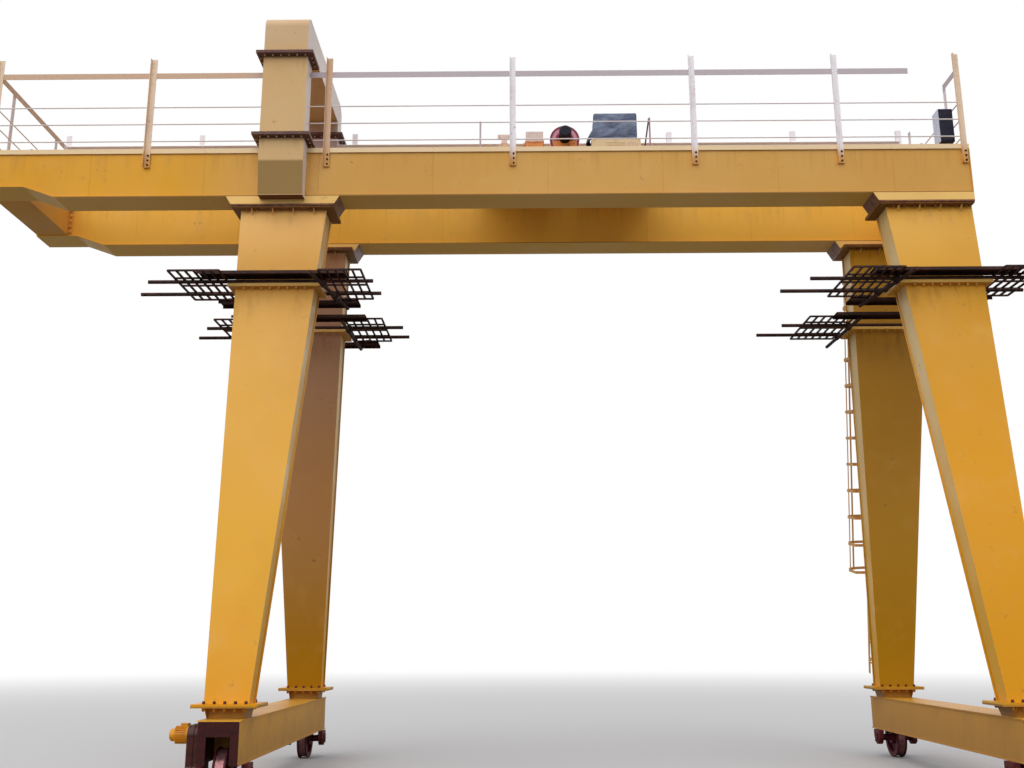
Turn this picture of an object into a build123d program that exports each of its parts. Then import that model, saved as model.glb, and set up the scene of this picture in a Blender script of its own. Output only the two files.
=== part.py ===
from build123d import *
from math import hypot, radians, sin
import os

# Double-girder gantry crane, in millimetres. X runs along the girders, with the long
# cantilever at -X, Y runs across them, and Z goes up from the lowest point of the wheels.
# The origin is the centre of the crane track: midway between the ground beams and
# between the girders.

# Travel wheels, their bearing housings and drives
WHEEL_DIAMETER = 500
WHEEL_FLANGE = 20               # how far the wheel flange reaches below the rail head
WHEEL_TREAD = 90
WHEEL_FLANGE_WIDTH = 22
WHEEL_DISC = 36
WHEEL_RIM = 45
WHEEL_INSET = 330               # axle from the beam's end
AXLE_DIAMETER = 90
AXLE_REACH = 20                 # axle beyond the bearing housings
HUB_DIAMETER = 170
HUB_REACH = 12                  # hub beyond the wheel's flanges
HOUSING_LENGTH = 240
HOUSING_WIDTH = 56
HOUSING_BOSS = 190
BORE_CLEARANCE = 0.05
OVERLAP = 1                     # how far welded pieces run into each other
DRIVE_CASE_WIDTH = 120
DRIVE_CASE_RADIUS = 130
DRIVE_HEAD_RADIUS = 105
DRIVE_WAIST = 208
DRIVE_RIM = 9                   # joint flange round the middle of the gear case
DRIVE_RIM_WIDTH = 24
DRIVE_SOCKET = 40
DRIVE_MOTOR_RISE = 390          # motor axis above the axle
DRIVE_MOTOR_DIAMETER = 160
DRIVE_MOTOR_LENGTH = 130
DRIVE_MOTOR_FLANGE = 18
DRIVE_BRAKE_DIAMETER = 130
DRIVE_BRAKE_LENGTH = 55

# Ground beams
GAUGE = 8500                    # between the centre lines of the two ground beams
BEAM_LENGTH = 4980
BEAM_WIDTH = 455
BEAM_BOX_WIDTH = 430
BEAM_ABOVE_AXLE = 105
BEAM_DEPTH = 450
BEAM_FLANGE = 14
BEAM_WEB = 10
BAY_LENGTH = 640                # wheel bay at each end, open below
BAY_MOUTH = 250                 # width of the opening in the end plate
END_PLATE_HEIGHT = 165          # end plate above that opening
END_PLATE = 16
PEDESTAL_WIDTH = 410
PEDESTAL_DEPTH = 250
PEDESTAL_HEIGHT = 132
PEDESTAL_PLATE = 14

# Legs: tapered box members, front and back plates standing proud of the side plates
LEG_FOOT_INSET = 400            # leg's centre from the ground beam's end
LEG_HEAD_OFFSET = 85            # leg's head from the girder's middle, towards the other girder
LEG_LEAN_IN = 50                # how much nearer the middle a leg's head is than its foot
LOWER_LEG_HEIGHT = 5023
UPPER_LEG_HEIGHT = 1150
LEG_HEAD_WIDTH = 1120
LEG_FOOT_WIDTH = 480
LEG_HEAD_DEPTH = 390
LEG_FOOT_DEPTH = 300
LEG_PLATE = 12
LEG_SIDE_PLATE = 10
LEG_LIP = 20
JOINT_PLATE = 20
HEAD_OVERHANG = 105
MID_OVERHANG = 80
FOOT_OVERHANG = 110
GUSSET = 10
GUSSET_HEIGHT = 110
GUSSET_ROW = 4                  # gussets across a leg's wide face

# Girders: welded boxes, flanges standing proud of the webs
GIRDER_PITCH = 1740
GIRDER_DEPTH = 675
GIRDER_FLANGE_WIDTH = 460
GIRDER_BOX_WIDTH = 420
GIRDER_FLANGE = 14
GIRDER_WEB = 8
EDGE_STRIP_HEIGHT = 65
EDGE_STRIP = 10
CANTILEVER = 3440               # girder beyond the outer side of the left legs
END_RISE = 150                  # how much shallower the cantilever's tip is
END_FLAT = 600
END_SLOPE = 420
SEAT_HEIGHT = 125
SEAT_SLOPE = 75                 # how far a seat's sloping end runs out
SEAT_PLATE = 12
TIE_WIDTH = 450
TIE_PLATE = 10
TIE_FLANGE_LIP = 55

# Trolley rails on the girders
RAIL_INSET = 180                # rail from the girder's middle, towards the other girder
TROLLEY_RAIL = 50
RAIL_END_GAP = 480
STOP_LENGTH = 90
STOP_HEIGHT = 190
STOP_WIDTH = 70

# Saddle over the girders at the left legs
SADDLE_WIDTH = 580
SADDLE_DEPTH = 290
SADDLE_REACH = 220              # outer face of a saddle column beyond the girder's edge
SADDLE_FOOT_RISE = 70           # lower bolted joint above the girder's top
SADDLE_COLUMN_HEIGHT = 1170
SADDLE_ARCH_HEIGHT = 590
SADDLE_BEAM_DEPTH = 370
SADDLE_PLATE = 10
SADDLE_OVERHANG = 85
SADDLE_CORNER = 170
KNEE_DROP = 260                 # where the bracket's face turns in, below the girder's top
KNEE_GAP = 45                   # lower end of the bracket above the girder's bottom

# Railings
RAIL_HEIGHT = 1100
RAIL_ANGLE = 80
RAIL_ANGLE_FOOT = 50
ANGLE_THICKNESS = 6
POST_ABOVE = 1300
POST_BELOW = 265
ROD_DIAMETER = 16
ROD_HEIGHTS = (110, 355, 600)
LEFT_POST_GAP = 130             # first post from the girder's left end
RIGHT_POST_GAP = 65             # last post from the girder's right end
POST_OFFSETS = (-1810, 550, 2995, 5380, 7280)   # other posts from the saddle's middle
TOP_RAIL_GAP = 705              # the front top rail stops short of the girder's right end
BOX_WIDTH = 190
BOX_DEPTH = 200
BOX_HEIGHT = 470
BOX_RISE = 150                  # junction box above the girder's top

# Ladder with safety cage on the back of the back right leg
LADDER_WIDTH = 460
LADDER_STANDOFF = 190
LADDER_HEAD_STANDOFF = 115      # from the girder's edge, at the top
LADDER_BAR = 60
LADDER_BAR_THICKNESS = 10
LADDER_FOOT_RISE = 193          # above the leg's foot joint
LADDER_HEAD_DROP = 30           # below the girder's top
RUNG_PITCH = 300
RUNG_DIAMETER = 20
CAGE_FOOT_RISE = 1450           # above the ladder's foot
CAGE_HEAD_DROP = 680            # below the girder's top
HOOP_PITCH = 400
HOOP_RADIUS = 400
HOOP_CENTRE = 280               # off the ladder's middle plane
HOOP_HEIGHT = 40
HOOP_THICKNESS = 6
STRAP_WIDTH = 36
STRAP_TURNS = (0, 50, 90, 130, 180)
BRACKET_RISES = (200, 1800, 3400, 4600, 5750)   # above the ladder's foot
BRACKET_DEPTH = 50

# Working platforms round the legs at the mid joint
PIPE_DIAMETER = 48
PIPE_GAP = 60                   # pipe axis to the leg's face
PIPE_LENGTHS = {"near": 2830, "far": 3130}
PIPE_SHIFTS = {("left", "front"): -170, ("right", "front"): -275,
               ("left", "back"): -15, ("right", "back"): -150}
FAR_PIPE_SHIFT = -110           # the far pipe of a pair from the near one
CROSS_PIPE_LENGTH = 1500
CROSS_PIPE_TURNS = {-1: 9, 1: 2}    # degrees off square, front and back legs
CROSS_PIPE_GAP = 10
COUPLER = 66
GRATE_LENGTH = 1160
GRATE_WIDTHS = {-1: 680, 1: 520}
GRATE_BAR = 22
GRATE_PITCH = 105
GRATE_CROSS_BARS = 5
GRATE_GAP = 110                 # grating to the leg's side
PLANK_WIDTH = 230
PLANK_THICKNESS = 40
PLANK_SHEET = 3
PLANK_LENGTH = 1870
PLANK_GAP = 12
HOOK_WIDTH = 50
HOOK_THICKNESS = 6

# Trolley
TROLLEY_LEFT = -1740
TROLLEY_LENGTH = 2540
TROLLEY_WHEEL_DIAMETER = 180
TROLLEY_WHEEL_FLANGE = 10
TROLLEY_WHEEL_WIDTH = 84
TROLLEY_WHEEL_GAP = 6           # rail head to each wheel flange
TROLLEY_WHEEL_SEAT = 0.3        # tread above the rail head
TROLLEY_WHEEL_INSETS = (420, 400)
TROLLEY_AXLE = 50
TROLLEY_CAP = 12
SIDE_BEAM_GAP = 60              # side beam's outer face from the rail's middle
SIDE_BEAM_HEIGHT = 140
SIDE_BEAM_WIDTH = 75
DECK_RISE = 90                  # deck above the wheels' axles
DECK_PLATE = 10
CROSS_BEAM_WIDTH = 60
CROSS_BEAM_HEIGHT = 100
ROPE_SLOT_LENGTH = 460
ROPE_SLOT_WIDTH = 640
DRUM_PLACE = 1250               # drum's axis from the trolley's left end
DRUM_RISE = 225                 # drum's axis above the deck
DRUM_FLANGE_DIAMETER = 410
DRUM_DIAMETER = 320
DRUM_LENGTH = 760
DRUM_FLANGE = 22
DRUM_HUB = 130
DRUM_HUB_REACH = 4
DRUM_SHAFT = 70
GROOVE_PITCH = 22
GROOVE_DEPTH = 5
GROOVE_LAND = 2.2               # half the flat between two grooves
GROOVE_SLOPE = 5.5
DRUM_GAP = 6
PEDESTAL_THICKNESS = 50
BEARING_FOOT_WIDTH = 330
BEARING_FOOT_HEIGHT = 178
BEARING_STEM_WIDTH = 140
BEARING_BOSS = 160
JOURNAL_GAP = 2                 # drum's journal to the motor
HOIST_MOTOR_DIAMETER = 170
HOIST_MOTOR_BODY = 150
HOIST_MOTOR_LENGTH = 210
HOIST_MOTOR_FLANGE = 16
HOIST_MOTOR_COVER = 70
TERMINAL_BOX = 80
TERMINAL_BOX_RISE = 28
CASE_FROM_DRUM = 420
CASE_WIDTH = 240
CASE_DEPTH = 220
CASE_HEIGHT = 285
CASE_PLACE = 240                # case's middle from the deck's front edge
CASE_RIM = 10
CASE_RIM_HEIGHT = 24
CASE_STUB = 60
CASE_STUB_REACH = 35
CASE_PIN = 16
CASE_PIN_HEIGHT = 40
CABINET_FROM_DRUM = 410
CABINET_WIDTH = 610
CABINET_DEPTH = 400
CABINET_HEIGHT = 655
CABINET_BASE_HEIGHT = 250
CABINET_BASE_LIP = 35
CABINET_PLACE = 300             # cabinet's front from the deck's front edge
CABINET_SHEET = 4
COVER_THICKNESS = 8
COVER_GAP = 0.3
COVER_FOOT_GAP = 15
COVER_SLACK = 12                # between the cover's faces and the cabinet's
ROD_PLACE = 85                  # limit rod from the trolley's left end
LIMIT_ROD = 25
LIMIT_ROD_HEIGHT = 440
TEE_PLACE = 415
TEE_STEM = (80, 50)
TEE_HEAD = (180, 60)
TEE_HEIGHT = 178
TEE_HEAD_HEIGHT = 50
STRUT_PLACE = 100               # bent frame's upright from the trolley's right end
STRUT_BAR = 20
STRUT_SPREAD = 95
STRUT_HEIGHT = 570
STRUT_TOP_GAP = 15
POST_ROW = 130                  # rod and tee from the deck's front edge

SIDES = {"left": -1, "right": 1}
ROWS = {"front": -1, "back": 1}

AXLE_HEIGHT = WHEEL_DIAMETER / 2 + WHEEL_FLANGE
BEAM_BOTTOM = AXLE_HEIGHT + BEAM_ABOVE_AXLE
BEAM_TOP = BEAM_BOTTOM + BEAM_DEPTH
FOOT_JOINT = BEAM_TOP + PEDESTAL_HEIGHT
MID_JOINT = FOOT_JOINT + LOWER_LEG_HEIGHT
HEAD_JOINT = MID_JOINT + UPPER_LEG_HEIGHT
GIRDER_BOTTOM = HEAD_JOINT + SEAT_HEIGHT
GIRDER_TOP = GIRDER_BOTTOM + GIRDER_DEPTH
LEG_HEAD_PITCH = GAUGE - 2 * LEG_LEAN_IN
LEG_HEAD_SPREAD = GIRDER_PITCH - 2 * LEG_HEAD_OFFSET
LEG_FOOT_SPREAD = BEAM_LENGTH - 2 * LEG_FOOT_INSET
RIGHT_END = LEG_HEAD_PITCH / 2 + LEG_HEAD_WIDTH / 2
LEFT_END = -RIGHT_END - CANTILEVER
GIRDER_INNER = GIRDER_PITCH / 2 - GIRDER_BOX_WIDTH / 2
GIRDER_OUTER = GIRDER_PITCH / 2 + GIRDER_FLANGE_WIDTH / 2
SADDLE_X = -LEG_HEAD_PITCH / 2
SADDLE_FACE = GIRDER_OUTER + SADDLE_REACH
SADDLE_LOW_JOINT = GIRDER_TOP + SADDLE_FOOT_RISE
SADDLE_HIGH_JOINT = SADDLE_LOW_JOINT + SADDLE_COLUMN_HEIGHT
SADDLE_TOP = SADDLE_HIGH_JOINT + SADDLE_ARCH_HEIGHT
KNEE_TOP = GIRDER_TOP - KNEE_DROP
KNEE_BOTTOM = GIRDER_BOTTOM + KNEE_GAP
POSTS = (LEFT_END + LEFT_POST_GAP, *[SADDLE_X + offset for offset in POST_OFFSETS],
         RIGHT_END - RIGHT_POST_GAP)
LADDER_FOOT = FOOT_JOINT + LADDER_FOOT_RISE
LADDER_TOP = GIRDER_TOP - LADDER_HEAD_DROP
CAGE_FOOT = LADDER_FOOT + CAGE_FOOT_RISE
CAGE_TOP = GIRDER_TOP - CAGE_HEAD_DROP
TROLLEY_GAUGE = GIRDER_PITCH - 2 * RAIL_INSET
TROLLEY_RIGHT = TROLLEY_LEFT + TROLLEY_LENGTH
TROLLEY_AXIS = GIRDER_TOP + TROLLEY_RAIL + TROLLEY_WHEEL_SEAT + TROLLEY_WHEEL_DIAMETER / 2
DECK = TROLLEY_AXIS + DECK_RISE
DECK_EDGE = TROLLEY_GAUGE / 2 - SIDE_BEAM_GAP
DRUM_X = TROLLEY_LEFT + DRUM_PLACE
DRUM_AXIS = DECK + DRUM_RISE
PLATFORM = MID_JOINT + JOINT_PLATE


def block(x0, x1, y0, y1, z0, z1):
    """A box between three pairs of limits."""
    middle = ((x0 + x1) / 2, (y0 + y1) / 2, (z0 + z1) / 2)
    return Pos(*middle) * Box(abs(x1 - x0), abs(y1 - y0), abs(z1 - z0))


def rod_x(x0, x1, y, z, diameter):
    return Pos((x0 + x1) / 2, y, z) * Rot(0, 90, 0) * Cylinder(diameter / 2, abs(x1 - x0))


def rod_y(x, y0, y1, z, diameter):
    return Pos(x, (y0 + y1) / 2, z) * Rot(90, 0, 0) * Cylinder(diameter / 2, abs(y1 - y0))


def rod_z(x, y, z0, z1, diameter):
    return Pos(x, y, (z0 + z1) / 2) * Cylinder(diameter / 2, abs(z1 - z0))


def prism_x(points, x0, x1):
    """Outline in Y and Z, carried from x0 to x1."""
    face = make_face(Polyline(*[(x0, y, z) for y, z in points], close=True))
    return extrude(face, amount=x1 - x0, dir=(1, 0, 0))


def prism_y(points, y0, y1):
    """Outline in X and Z, carried from y0 to y1."""
    face = make_face(Polyline(*[(x, y0, z) for x, z in points], close=True))
    return extrude(face, amount=y1 - y0, dir=(0, 1, 0))


def section(x, y, z, width, depth):
    return Pos(x, y, z) * Rectangle(width, depth)


def tapered(low, high):
    """Solid between two level rectangles, each given as x, y, z, width, depth."""
    return loft([section(*low).face(), section(*high).face()], ruled=True)


def fused(pieces):
    """One solid out of pieces that meet or cross each other."""
    body = pieces[0]
    for piece in pieces[1:]:
        body = body + piece
    return body


def mirrored(piece):
    """The same piece on the other side of the crane's middle plane."""
    return mirror(piece, about=Plane.XZ)


# Legs


def leg_section(side, row, height):
    """Centre, width and depth of a leg where it is cut level at a height."""
    share = (height - FOOT_JOINT) / (HEAD_JOINT - FOOT_JOINT)
    x = side * (GAUGE + share * (LEG_HEAD_PITCH - GAUGE)) / 2
    y = row * (LEG_FOOT_SPREAD + share * (LEG_HEAD_SPREAD - LEG_FOOT_SPREAD)) / 2
    width = LEG_FOOT_WIDTH + share * (LEG_HEAD_WIDTH - LEG_FOOT_WIDTH)
    depth = LEG_FOOT_DEPTH + share * (LEG_HEAD_DEPTH - LEG_FOOT_DEPTH)
    return x, y, height, width, depth


def leg_box(side, row, low, high):
    """Four plates of a tapered box, the side plates set in from the edges."""
    ends = [leg_section(side, row, low), leg_section(side, row, high)]

    def inner(width_less, depth_less):
        return tapered(*[(x, y, z, w - width_less, d - depth_less) for x, y, z, w, d in ends])

    body = tapered(*ends) - inner(2 * (LEG_LIP + LEG_SIDE_PLATE), 2 * LEG_PLATE)
    for hand in (-1, 1):
        recess = [(x + hand * (w / 2 - LEG_LIP / 2), y, z, LEG_LIP, d - 2 * LEG_PLATE)
                  for x, y, z, w, d in ends]
        body = body - tapered(*recess)
    return body


def joint_plate(side, row, height, low, overhang, outer_overhang=None):
    """Level bolting plate round a leg; its outer edge may be flush with the leg."""
    x, y, z, width, depth = leg_section(side, row, height)
    outer = overhang if outer_overhang is None else outer_overhang
    x0 = x - side * (width / 2 + overhang)
    x1 = x + side * (width / 2 + outer)
    y0 = y - depth / 2 - overhang
    y1 = y + depth / 2 + overhang
    return block(min(x0, x1), max(x0, x1), y0, y1, low, low + JOINT_PLATE)


def gussets(side, row, height, up, overhang, count):
    """Triangular plates between a joint plate and the leg's front and back faces."""
    x, y, z, width, depth = leg_section(side, row, height)
    tip = leg_section(side, row, height + up * GUSSET_HEIGHT)
    pieces = []
    pitch = (width - 2 * LEG_LIP) / count
    for face in (-1, 1):
        root = y + face * (depth / 2 - LEG_PLATE / 2)
        far = y + face * (depth / 2 + overhang - GUSSET)
        end = tip[1] + face * (tip[4] / 2 - LEG_PLATE / 2)
        outline = [(root, height), (far, height), (end, height + up * GUSSET_HEIGHT)]
        for place in range(count):
            middle = x + (place - (count - 1) / 2) * pitch
            pieces.append(prism_x(outline, middle - GUSSET / 2, middle + GUSSET / 2))
    return pieces


def head_outer_overhang(side):
    """The right legs' heads end flush with the girders' end."""
    return 0 if side > 0 else HEAD_OVERHANG


def lower_leg(side, row):
    foot = joint_plate(side, row, FOOT_JOINT, FOOT_JOINT, FOOT_OVERHANG)
    head = joint_plate(side, row, MID_JOINT, MID_JOINT - JOINT_PLATE, MID_OVERHANG)
    low = FOOT_JOINT + JOINT_PLATE / 2
    high = MID_JOINT - JOINT_PLATE / 2
    return fused([leg_box(side, row, low, high), foot, head])


def upper_leg(side, row):
    foot = joint_plate(side, row, MID_JOINT, MID_JOINT, MID_OVERHANG)
    head = joint_plate(side, row, HEAD_JOINT, HEAD_JOINT - JOINT_PLATE, HEAD_OVERHANG,
                       head_outer_overhang(side))
    low = MID_JOINT + JOINT_PLATE / 2
    high = HEAD_JOINT - JOINT_PLATE / 2
    ribs = gussets(side, row, high, -1, HEAD_OVERHANG, GUSSET_ROW)
    return fused([leg_box(side, row, low, high), foot, head] + ribs)


# Girders


def girder_outline(inset):
    """Side view of a girder, moved in all round by an inset."""
    left = LEFT_END + inset
    right = RIGHT_END - inset
    bottom = GIRDER_BOTTOM + inset
    tip = GIRDER_BOTTOM + END_RISE + inset
    turn = LEFT_END + END_FLAT
    foot = turn + END_SLOPE
    top = GIRDER_TOP - inset
    return [(left, top), (right, top), (right, bottom), (foot, bottom), (turn, tip), (left, tip)]


def girder():
    """The front girder: hollow box, with a strip along its outer top edge."""
    middle = -GIRDER_PITCH / 2
    face = middle - GIRDER_FLANGE_WIDTH / 2
    back = middle + GIRDER_FLANGE_WIDTH / 2
    web = GIRDER_BOX_WIDTH / 2
    body = prism_y(girder_outline(0), face, back)
    core = girder_outline(GIRDER_FLANGE)
    body = body - prism_y(core, middle - web + GIRDER_WEB, middle + web - GIRDER_WEB)
    body = body - prism_y(core, face, middle - web)
    body = body - prism_y(core, middle + web, back)
    strip = block(LEFT_END, RIGHT_END, face, face + EDGE_STRIP,
                  GIRDER_TOP - EDGE_STRIP_HEIGHT, GIRDER_TOP)
    return body + strip


def seat_limits(side):
    """X limits of a girder seat at its bottom, inner limit first."""
    x, y, z, width, depth = leg_section(side, 1, HEAD_JOINT)
    return x - side * (width / 2 + HEAD_OVERHANG), x + side * (width / 2 + head_outer_overhang(side))


def seat(side):
    """Deepening of the front girder over a leg: sloping ends, open top, bolted foot plate."""
    inner, outer = seat_limits(side)
    outer_slope = 0 if side > 0 else SEAT_SLOPE
    middle = -GIRDER_PITCH / 2
    top = [inner - side * SEAT_SLOPE, outer + side * outer_slope]

    def shell(inset):
        low = (inner + side * inset, outer - side * inset)
        high = (top[0] + side * inset, top[1] - side * inset)
        width = GIRDER_FLANGE_WIDTH - 2 * inset
        return tapered((sum(low) / 2, middle, HEAD_JOINT, abs(low[1] - low[0]), width),
                       (sum(high) / 2, middle, GIRDER_BOTTOM, abs(high[1] - high[0]), width))

    plate = joint_plate(side, -1, HEAD_JOINT, HEAD_JOINT, HEAD_OVERHANG, head_outer_overhang(side))
    return shell(0) - shell(SEAT_PLATE) + plate


def end_tie(low, high, x0, x1):
    """Box beam between the girders, with a bolting plate at each end."""
    reach = GIRDER_INNER
    tube = block(x0, x1, -reach, reach, low, high)
    hollow = block(x0 + TIE_PLATE, x1 - TIE_PLATE, -reach, reach, low + TIE_PLATE, high - TIE_PLATE)
    body = tube - hollow
    for hand in (-1, 1):
        face = hand * reach
        root = face - hand * JOINT_PLATE
        plate = block(x0, x1 + TIE_FLANGE_LIP, min(face, root), max(face, root), low, high)
        body = body + plate
    return body


def left_end_tie():
    low = GIRDER_BOTTOM + END_RISE + GIRDER_FLANGE
    start = LEFT_END + GIRDER_FLANGE
    return end_tie(low, GIRDER_TOP - GIRDER_FLANGE, start, start + TIE_WIDTH)


def right_end_tie():
    low = GIRDER_BOTTOM + GIRDER_FLANGE
    start = -RIGHT_END + GIRDER_FLANGE
    tie = end_tie(low, GIRDER_TOP - GIRDER_FLANGE, start, start + TIE_WIDTH)
    return mirror(tie, about=Plane.YZ)


def trolley_rails():
    half = TROLLEY_RAIL / 2
    pieces = []
    for row in (-1, 1):
        y = row * TROLLEY_GAUGE / 2
        pieces.append(block(LEFT_END + RAIL_END_GAP, RIGHT_END - RAIL_END_GAP,
                            y - half, y + half, GIRDER_TOP, GIRDER_TOP + TROLLEY_RAIL))
    return pieces


def rail_stops():
    """Stop block at each end of each trolley rail, with a sloping back."""
    pieces = []
    half = STOP_WIDTH / 2
    for row in (-1, 1):
        y = row * TROLLEY_GAUGE / 2
        for end, hand in ((LEFT_END + RAIL_END_GAP, -1), (RIGHT_END - RAIL_END_GAP, 1)):
            far = end + hand * STOP_LENGTH
            top = GIRDER_TOP + STOP_HEIGHT
            outline = [(end, GIRDER_TOP), (end, top), (end + hand * STOP_LENGTH / 3, top), (far, GIRDER_TOP)]
            pieces.append(prism_y(outline, y - half, y + half))
    return pieces


# Ground beams, wheels and drives


def pedestal(side, row):
    """Short box between a ground beam and a leg's foot, with four corner gussets."""
    x, y, z, width, depth = leg_section(side, row, FOOT_JOINT)
    under = FOOT_JOINT - JOINT_PLATE
    half_x = PEDESTAL_WIDTH / 2
    half_y = PEDESTAL_DEPTH / 2
    wall = PEDESTAL_PLATE
    tube = block(x - half_x, x + half_x, y - half_y, y + half_y, BEAM_TOP, under)
    tube = tube - block(x - half_x + wall, x + half_x - wall, y - half_y + wall, y + half_y - wall,
                        BEAM_TOP, under)
    plate = joint_plate(side, row, FOOT_JOINT, under, FOOT_OVERHANG)
    ribs = []
    far = depth / 2 + FOOT_OVERHANG - GUSSET
    for face in (-1, 1):
        outline = [(y + face * (half_y - wall / 2), BEAM_TOP), (y + face * (half_y - wall / 2), under),
                   (y + face * far, under), (y + face * (half_y + wall), BEAM_TOP)]
        for hand in (-1, 1):
            middle = x + hand * (half_x - GUSSET / 2)
            ribs.append(prism_x(outline, middle - GUSSET / 2, middle + GUSSET / 2))
    return fused([tube, plate] + ribs)


def axle_places():
    return [-BEAM_LENGTH / 2 + WHEEL_INSET, BEAM_LENGTH / 2 - WHEEL_INSET]


def ground_beam(side):
    """Box beam with a wheel bay at each end and a pedestal under each leg."""
    x = side * GAUGE / 2
    end = BEAM_LENGTH / 2
    half = BEAM_WIDTH / 2
    web = BEAM_BOX_WIDTH / 2
    body = block(x - half, x + half, -end, end, BEAM_BOTTOM, BEAM_TOP)
    low = BEAM_BOTTOM + BEAM_FLANGE
    high = BEAM_TOP - BEAM_FLANGE
    bay = end - BAY_LENGTH
    body = body - block(x - web + BEAM_WEB, x + web - BEAM_WEB, -bay + END_PLATE, bay - END_PLATE, low, high)
    for hand in (-1, 1):
        body = body - block(x + hand * web, x + hand * half, -end, end, low, high)
        start = hand * bay
        stop = hand * (end - END_PLATE)
        body = body - block(x - web + BEAM_WEB, x + web - BEAM_WEB, min(start, stop), max(start, stop),
                            BEAM_BOTTOM, high)
        mouth = hand * end
        body = body - block(x - BAY_MOUTH / 2, x + BAY_MOUTH / 2, min(stop, mouth), max(stop, mouth),
                            BEAM_BOTTOM, BEAM_TOP - END_PLATE_HEIGHT)
    return fused([body] + [pedestal(side, row) for row in (-1, 1)])


def wheel(side, y):
    """Double-flanged wheel and its axle, turned as one piece."""
    radius = WHEEL_DIAMETER / 2
    rim = radius + WHEEL_FLANGE
    tread = WHEEL_TREAD / 2
    edge = tread + WHEEL_FLANGE_WIDTH
    hub = edge + HUB_REACH
    inner_rim = radius - WHEEL_RIM
    disc_face = WHEEL_DISC / 2
    slope = WHEEL_FLANGE_WIDTH / 3
    axle = BEAM_BOX_WIDTH / 2 + HOUSING_WIDTH + AXLE_REACH
    half = [(0, 0), (axle, 0), (axle, AXLE_DIAMETER / 2), (hub, AXLE_DIAMETER / 2),
            (hub, HUB_DIAMETER / 2), (disc_face, HUB_DIAMETER / 2 + slope), (disc_face, inner_rim - slope),
            (edge, inner_rim), (edge, rim), (tread + slope, rim), (tread, radius), (0, radius)]
    other = [(-a, r) for a, r in reversed(half[1:-1])]
    outline = make_face(Polyline(*[(a, r) for a, r in half + other], close=True))
    disc = revolve(outline, axis=Axis.X, revolution_arc=360)
    return Pos(side * GAUGE / 2, y, AXLE_HEIGHT) * disc


def bearing(side, y, hand):
    """Bearing housing bolted under one web of the ground beam."""
    face = side * GAUGE / 2 + hand * (BEAM_BOX_WIDTH / 2 - BEAM_WEB)
    far = face + hand * (HOUSING_WIDTH + BEAM_WEB)
    x0 = min(face, far)
    x1 = max(face, far)
    half = HOUSING_LENGTH / 2
    top = BEAM_BOTTOM
    block_body = block(x0, x1, y - half, y + half, AXLE_HEIGHT, top)
    boss = rod_x(x0, x1, y, AXLE_HEIGHT, HOUSING_BOSS)
    bore = rod_x(x0 - 1, x1 + 1, y, AXLE_HEIGHT, AXLE_DIAMETER + 2 * BORE_CLEARANCE)
    return block_body + boss - bore


def wheels(side):
    return [wheel(side, y) for y in axle_places()]


def wheel_bearings(side):
    return [bearing(side, y, hand) for y in axle_places() for hand in (-1, 1)]


def drive_motor():
    """Motor with its flange and the brake cover at its end, pointing along +X from 0."""
    body_end = DRIVE_MOTOR_FLANGE + DRIVE_MOTOR_LENGTH
    end = body_end + DRIVE_BRAKE_LENGTH
    flange = DRIVE_HEAD_RADIUS - DRIVE_RIM
    body = DRIVE_MOTOR_DIAMETER / 2
    brake = DRIVE_BRAKE_DIAMETER / 2
    chamfer = DRIVE_BRAKE_LENGTH / 4
    outline = [(-DRIVE_RIM, 0), (end, 0), (end, brake - chamfer), (end - chamfer, brake), (body_end, brake),
               (body_end, body), (DRIVE_MOTOR_FLANGE, body), (DRIVE_MOTOR_FLANGE, flange), (-DRIVE_RIM, flange)]
    return revolve(make_face(Polyline(*outline, close=True)), axis=Axis.X, revolution_arc=360)


def drive_case(x0, x1, y, grow):
    """Rounded gear case from the axle up to the motor, grown all round."""
    top = AXLE_HEIGHT + DRIVE_MOTOR_RISE
    waist = DRIVE_WAIST / 2 + grow
    return fused([rod_x(x0, x1, y, AXLE_HEIGHT, 2 * (DRIVE_CASE_RADIUS + grow)),
                  rod_x(x0, x1, y, top, 2 * (DRIVE_HEAD_RADIUS + grow)),
                  block(x0, x1, y - waist, y + waist, AXLE_HEIGHT, top)])


def travel_drive(side):
    """Gear case on the front axle's outer end, carrying a level motor above it."""
    y = axle_places()[0]
    face = GAUGE / 2 + BEAM_BOX_WIDTH / 2 + HOUSING_WIDTH
    far = face + DRIVE_CASE_WIDTH
    middle = (face + far) / 2
    case = drive_case(face, far, y, 0)
    rim = drive_case(middle - DRIVE_RIM_WIDTH / 2, middle + DRIVE_RIM_WIDTH / 2, y, DRIVE_RIM)
    motor = Pos(far, y, AXLE_HEIGHT + DRIVE_MOTOR_RISE) * drive_motor()
    socket = rod_x(face - 1, face + DRIVE_SOCKET, y, AXLE_HEIGHT, AXLE_DIAMETER + 2 * BORE_CLEARANCE)
    drive = fused([case, rim, motor]) - socket
    return drive if side > 0 else mirror(drive, about=Plane.YZ)


# Saddle


def hollow_post(y0, y1, z0, z1):
    half = SADDLE_WIDTH / 2
    wall = SADDLE_PLATE
    tube = block(SADDLE_X - half, SADDLE_X + half, y0, y1, z0, z1)
    return tube - block(SADDLE_X - half + wall, SADDLE_X + half - wall, y0 + wall, y1 - wall, z0, z1)


def saddle_plate(low):
    """Bolting plate round a saddle column, front row."""
    half = SADDLE_WIDTH / 2 + SADDLE_OVERHANG
    inner = -SADDLE_FACE + SADDLE_DEPTH + SADDLE_OVERHANG
    return block(SADDLE_X - half, SADDLE_X + half, -SADDLE_FACE - SADDLE_OVERHANG, inner,
                 low, low + JOINT_PLATE)


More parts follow.
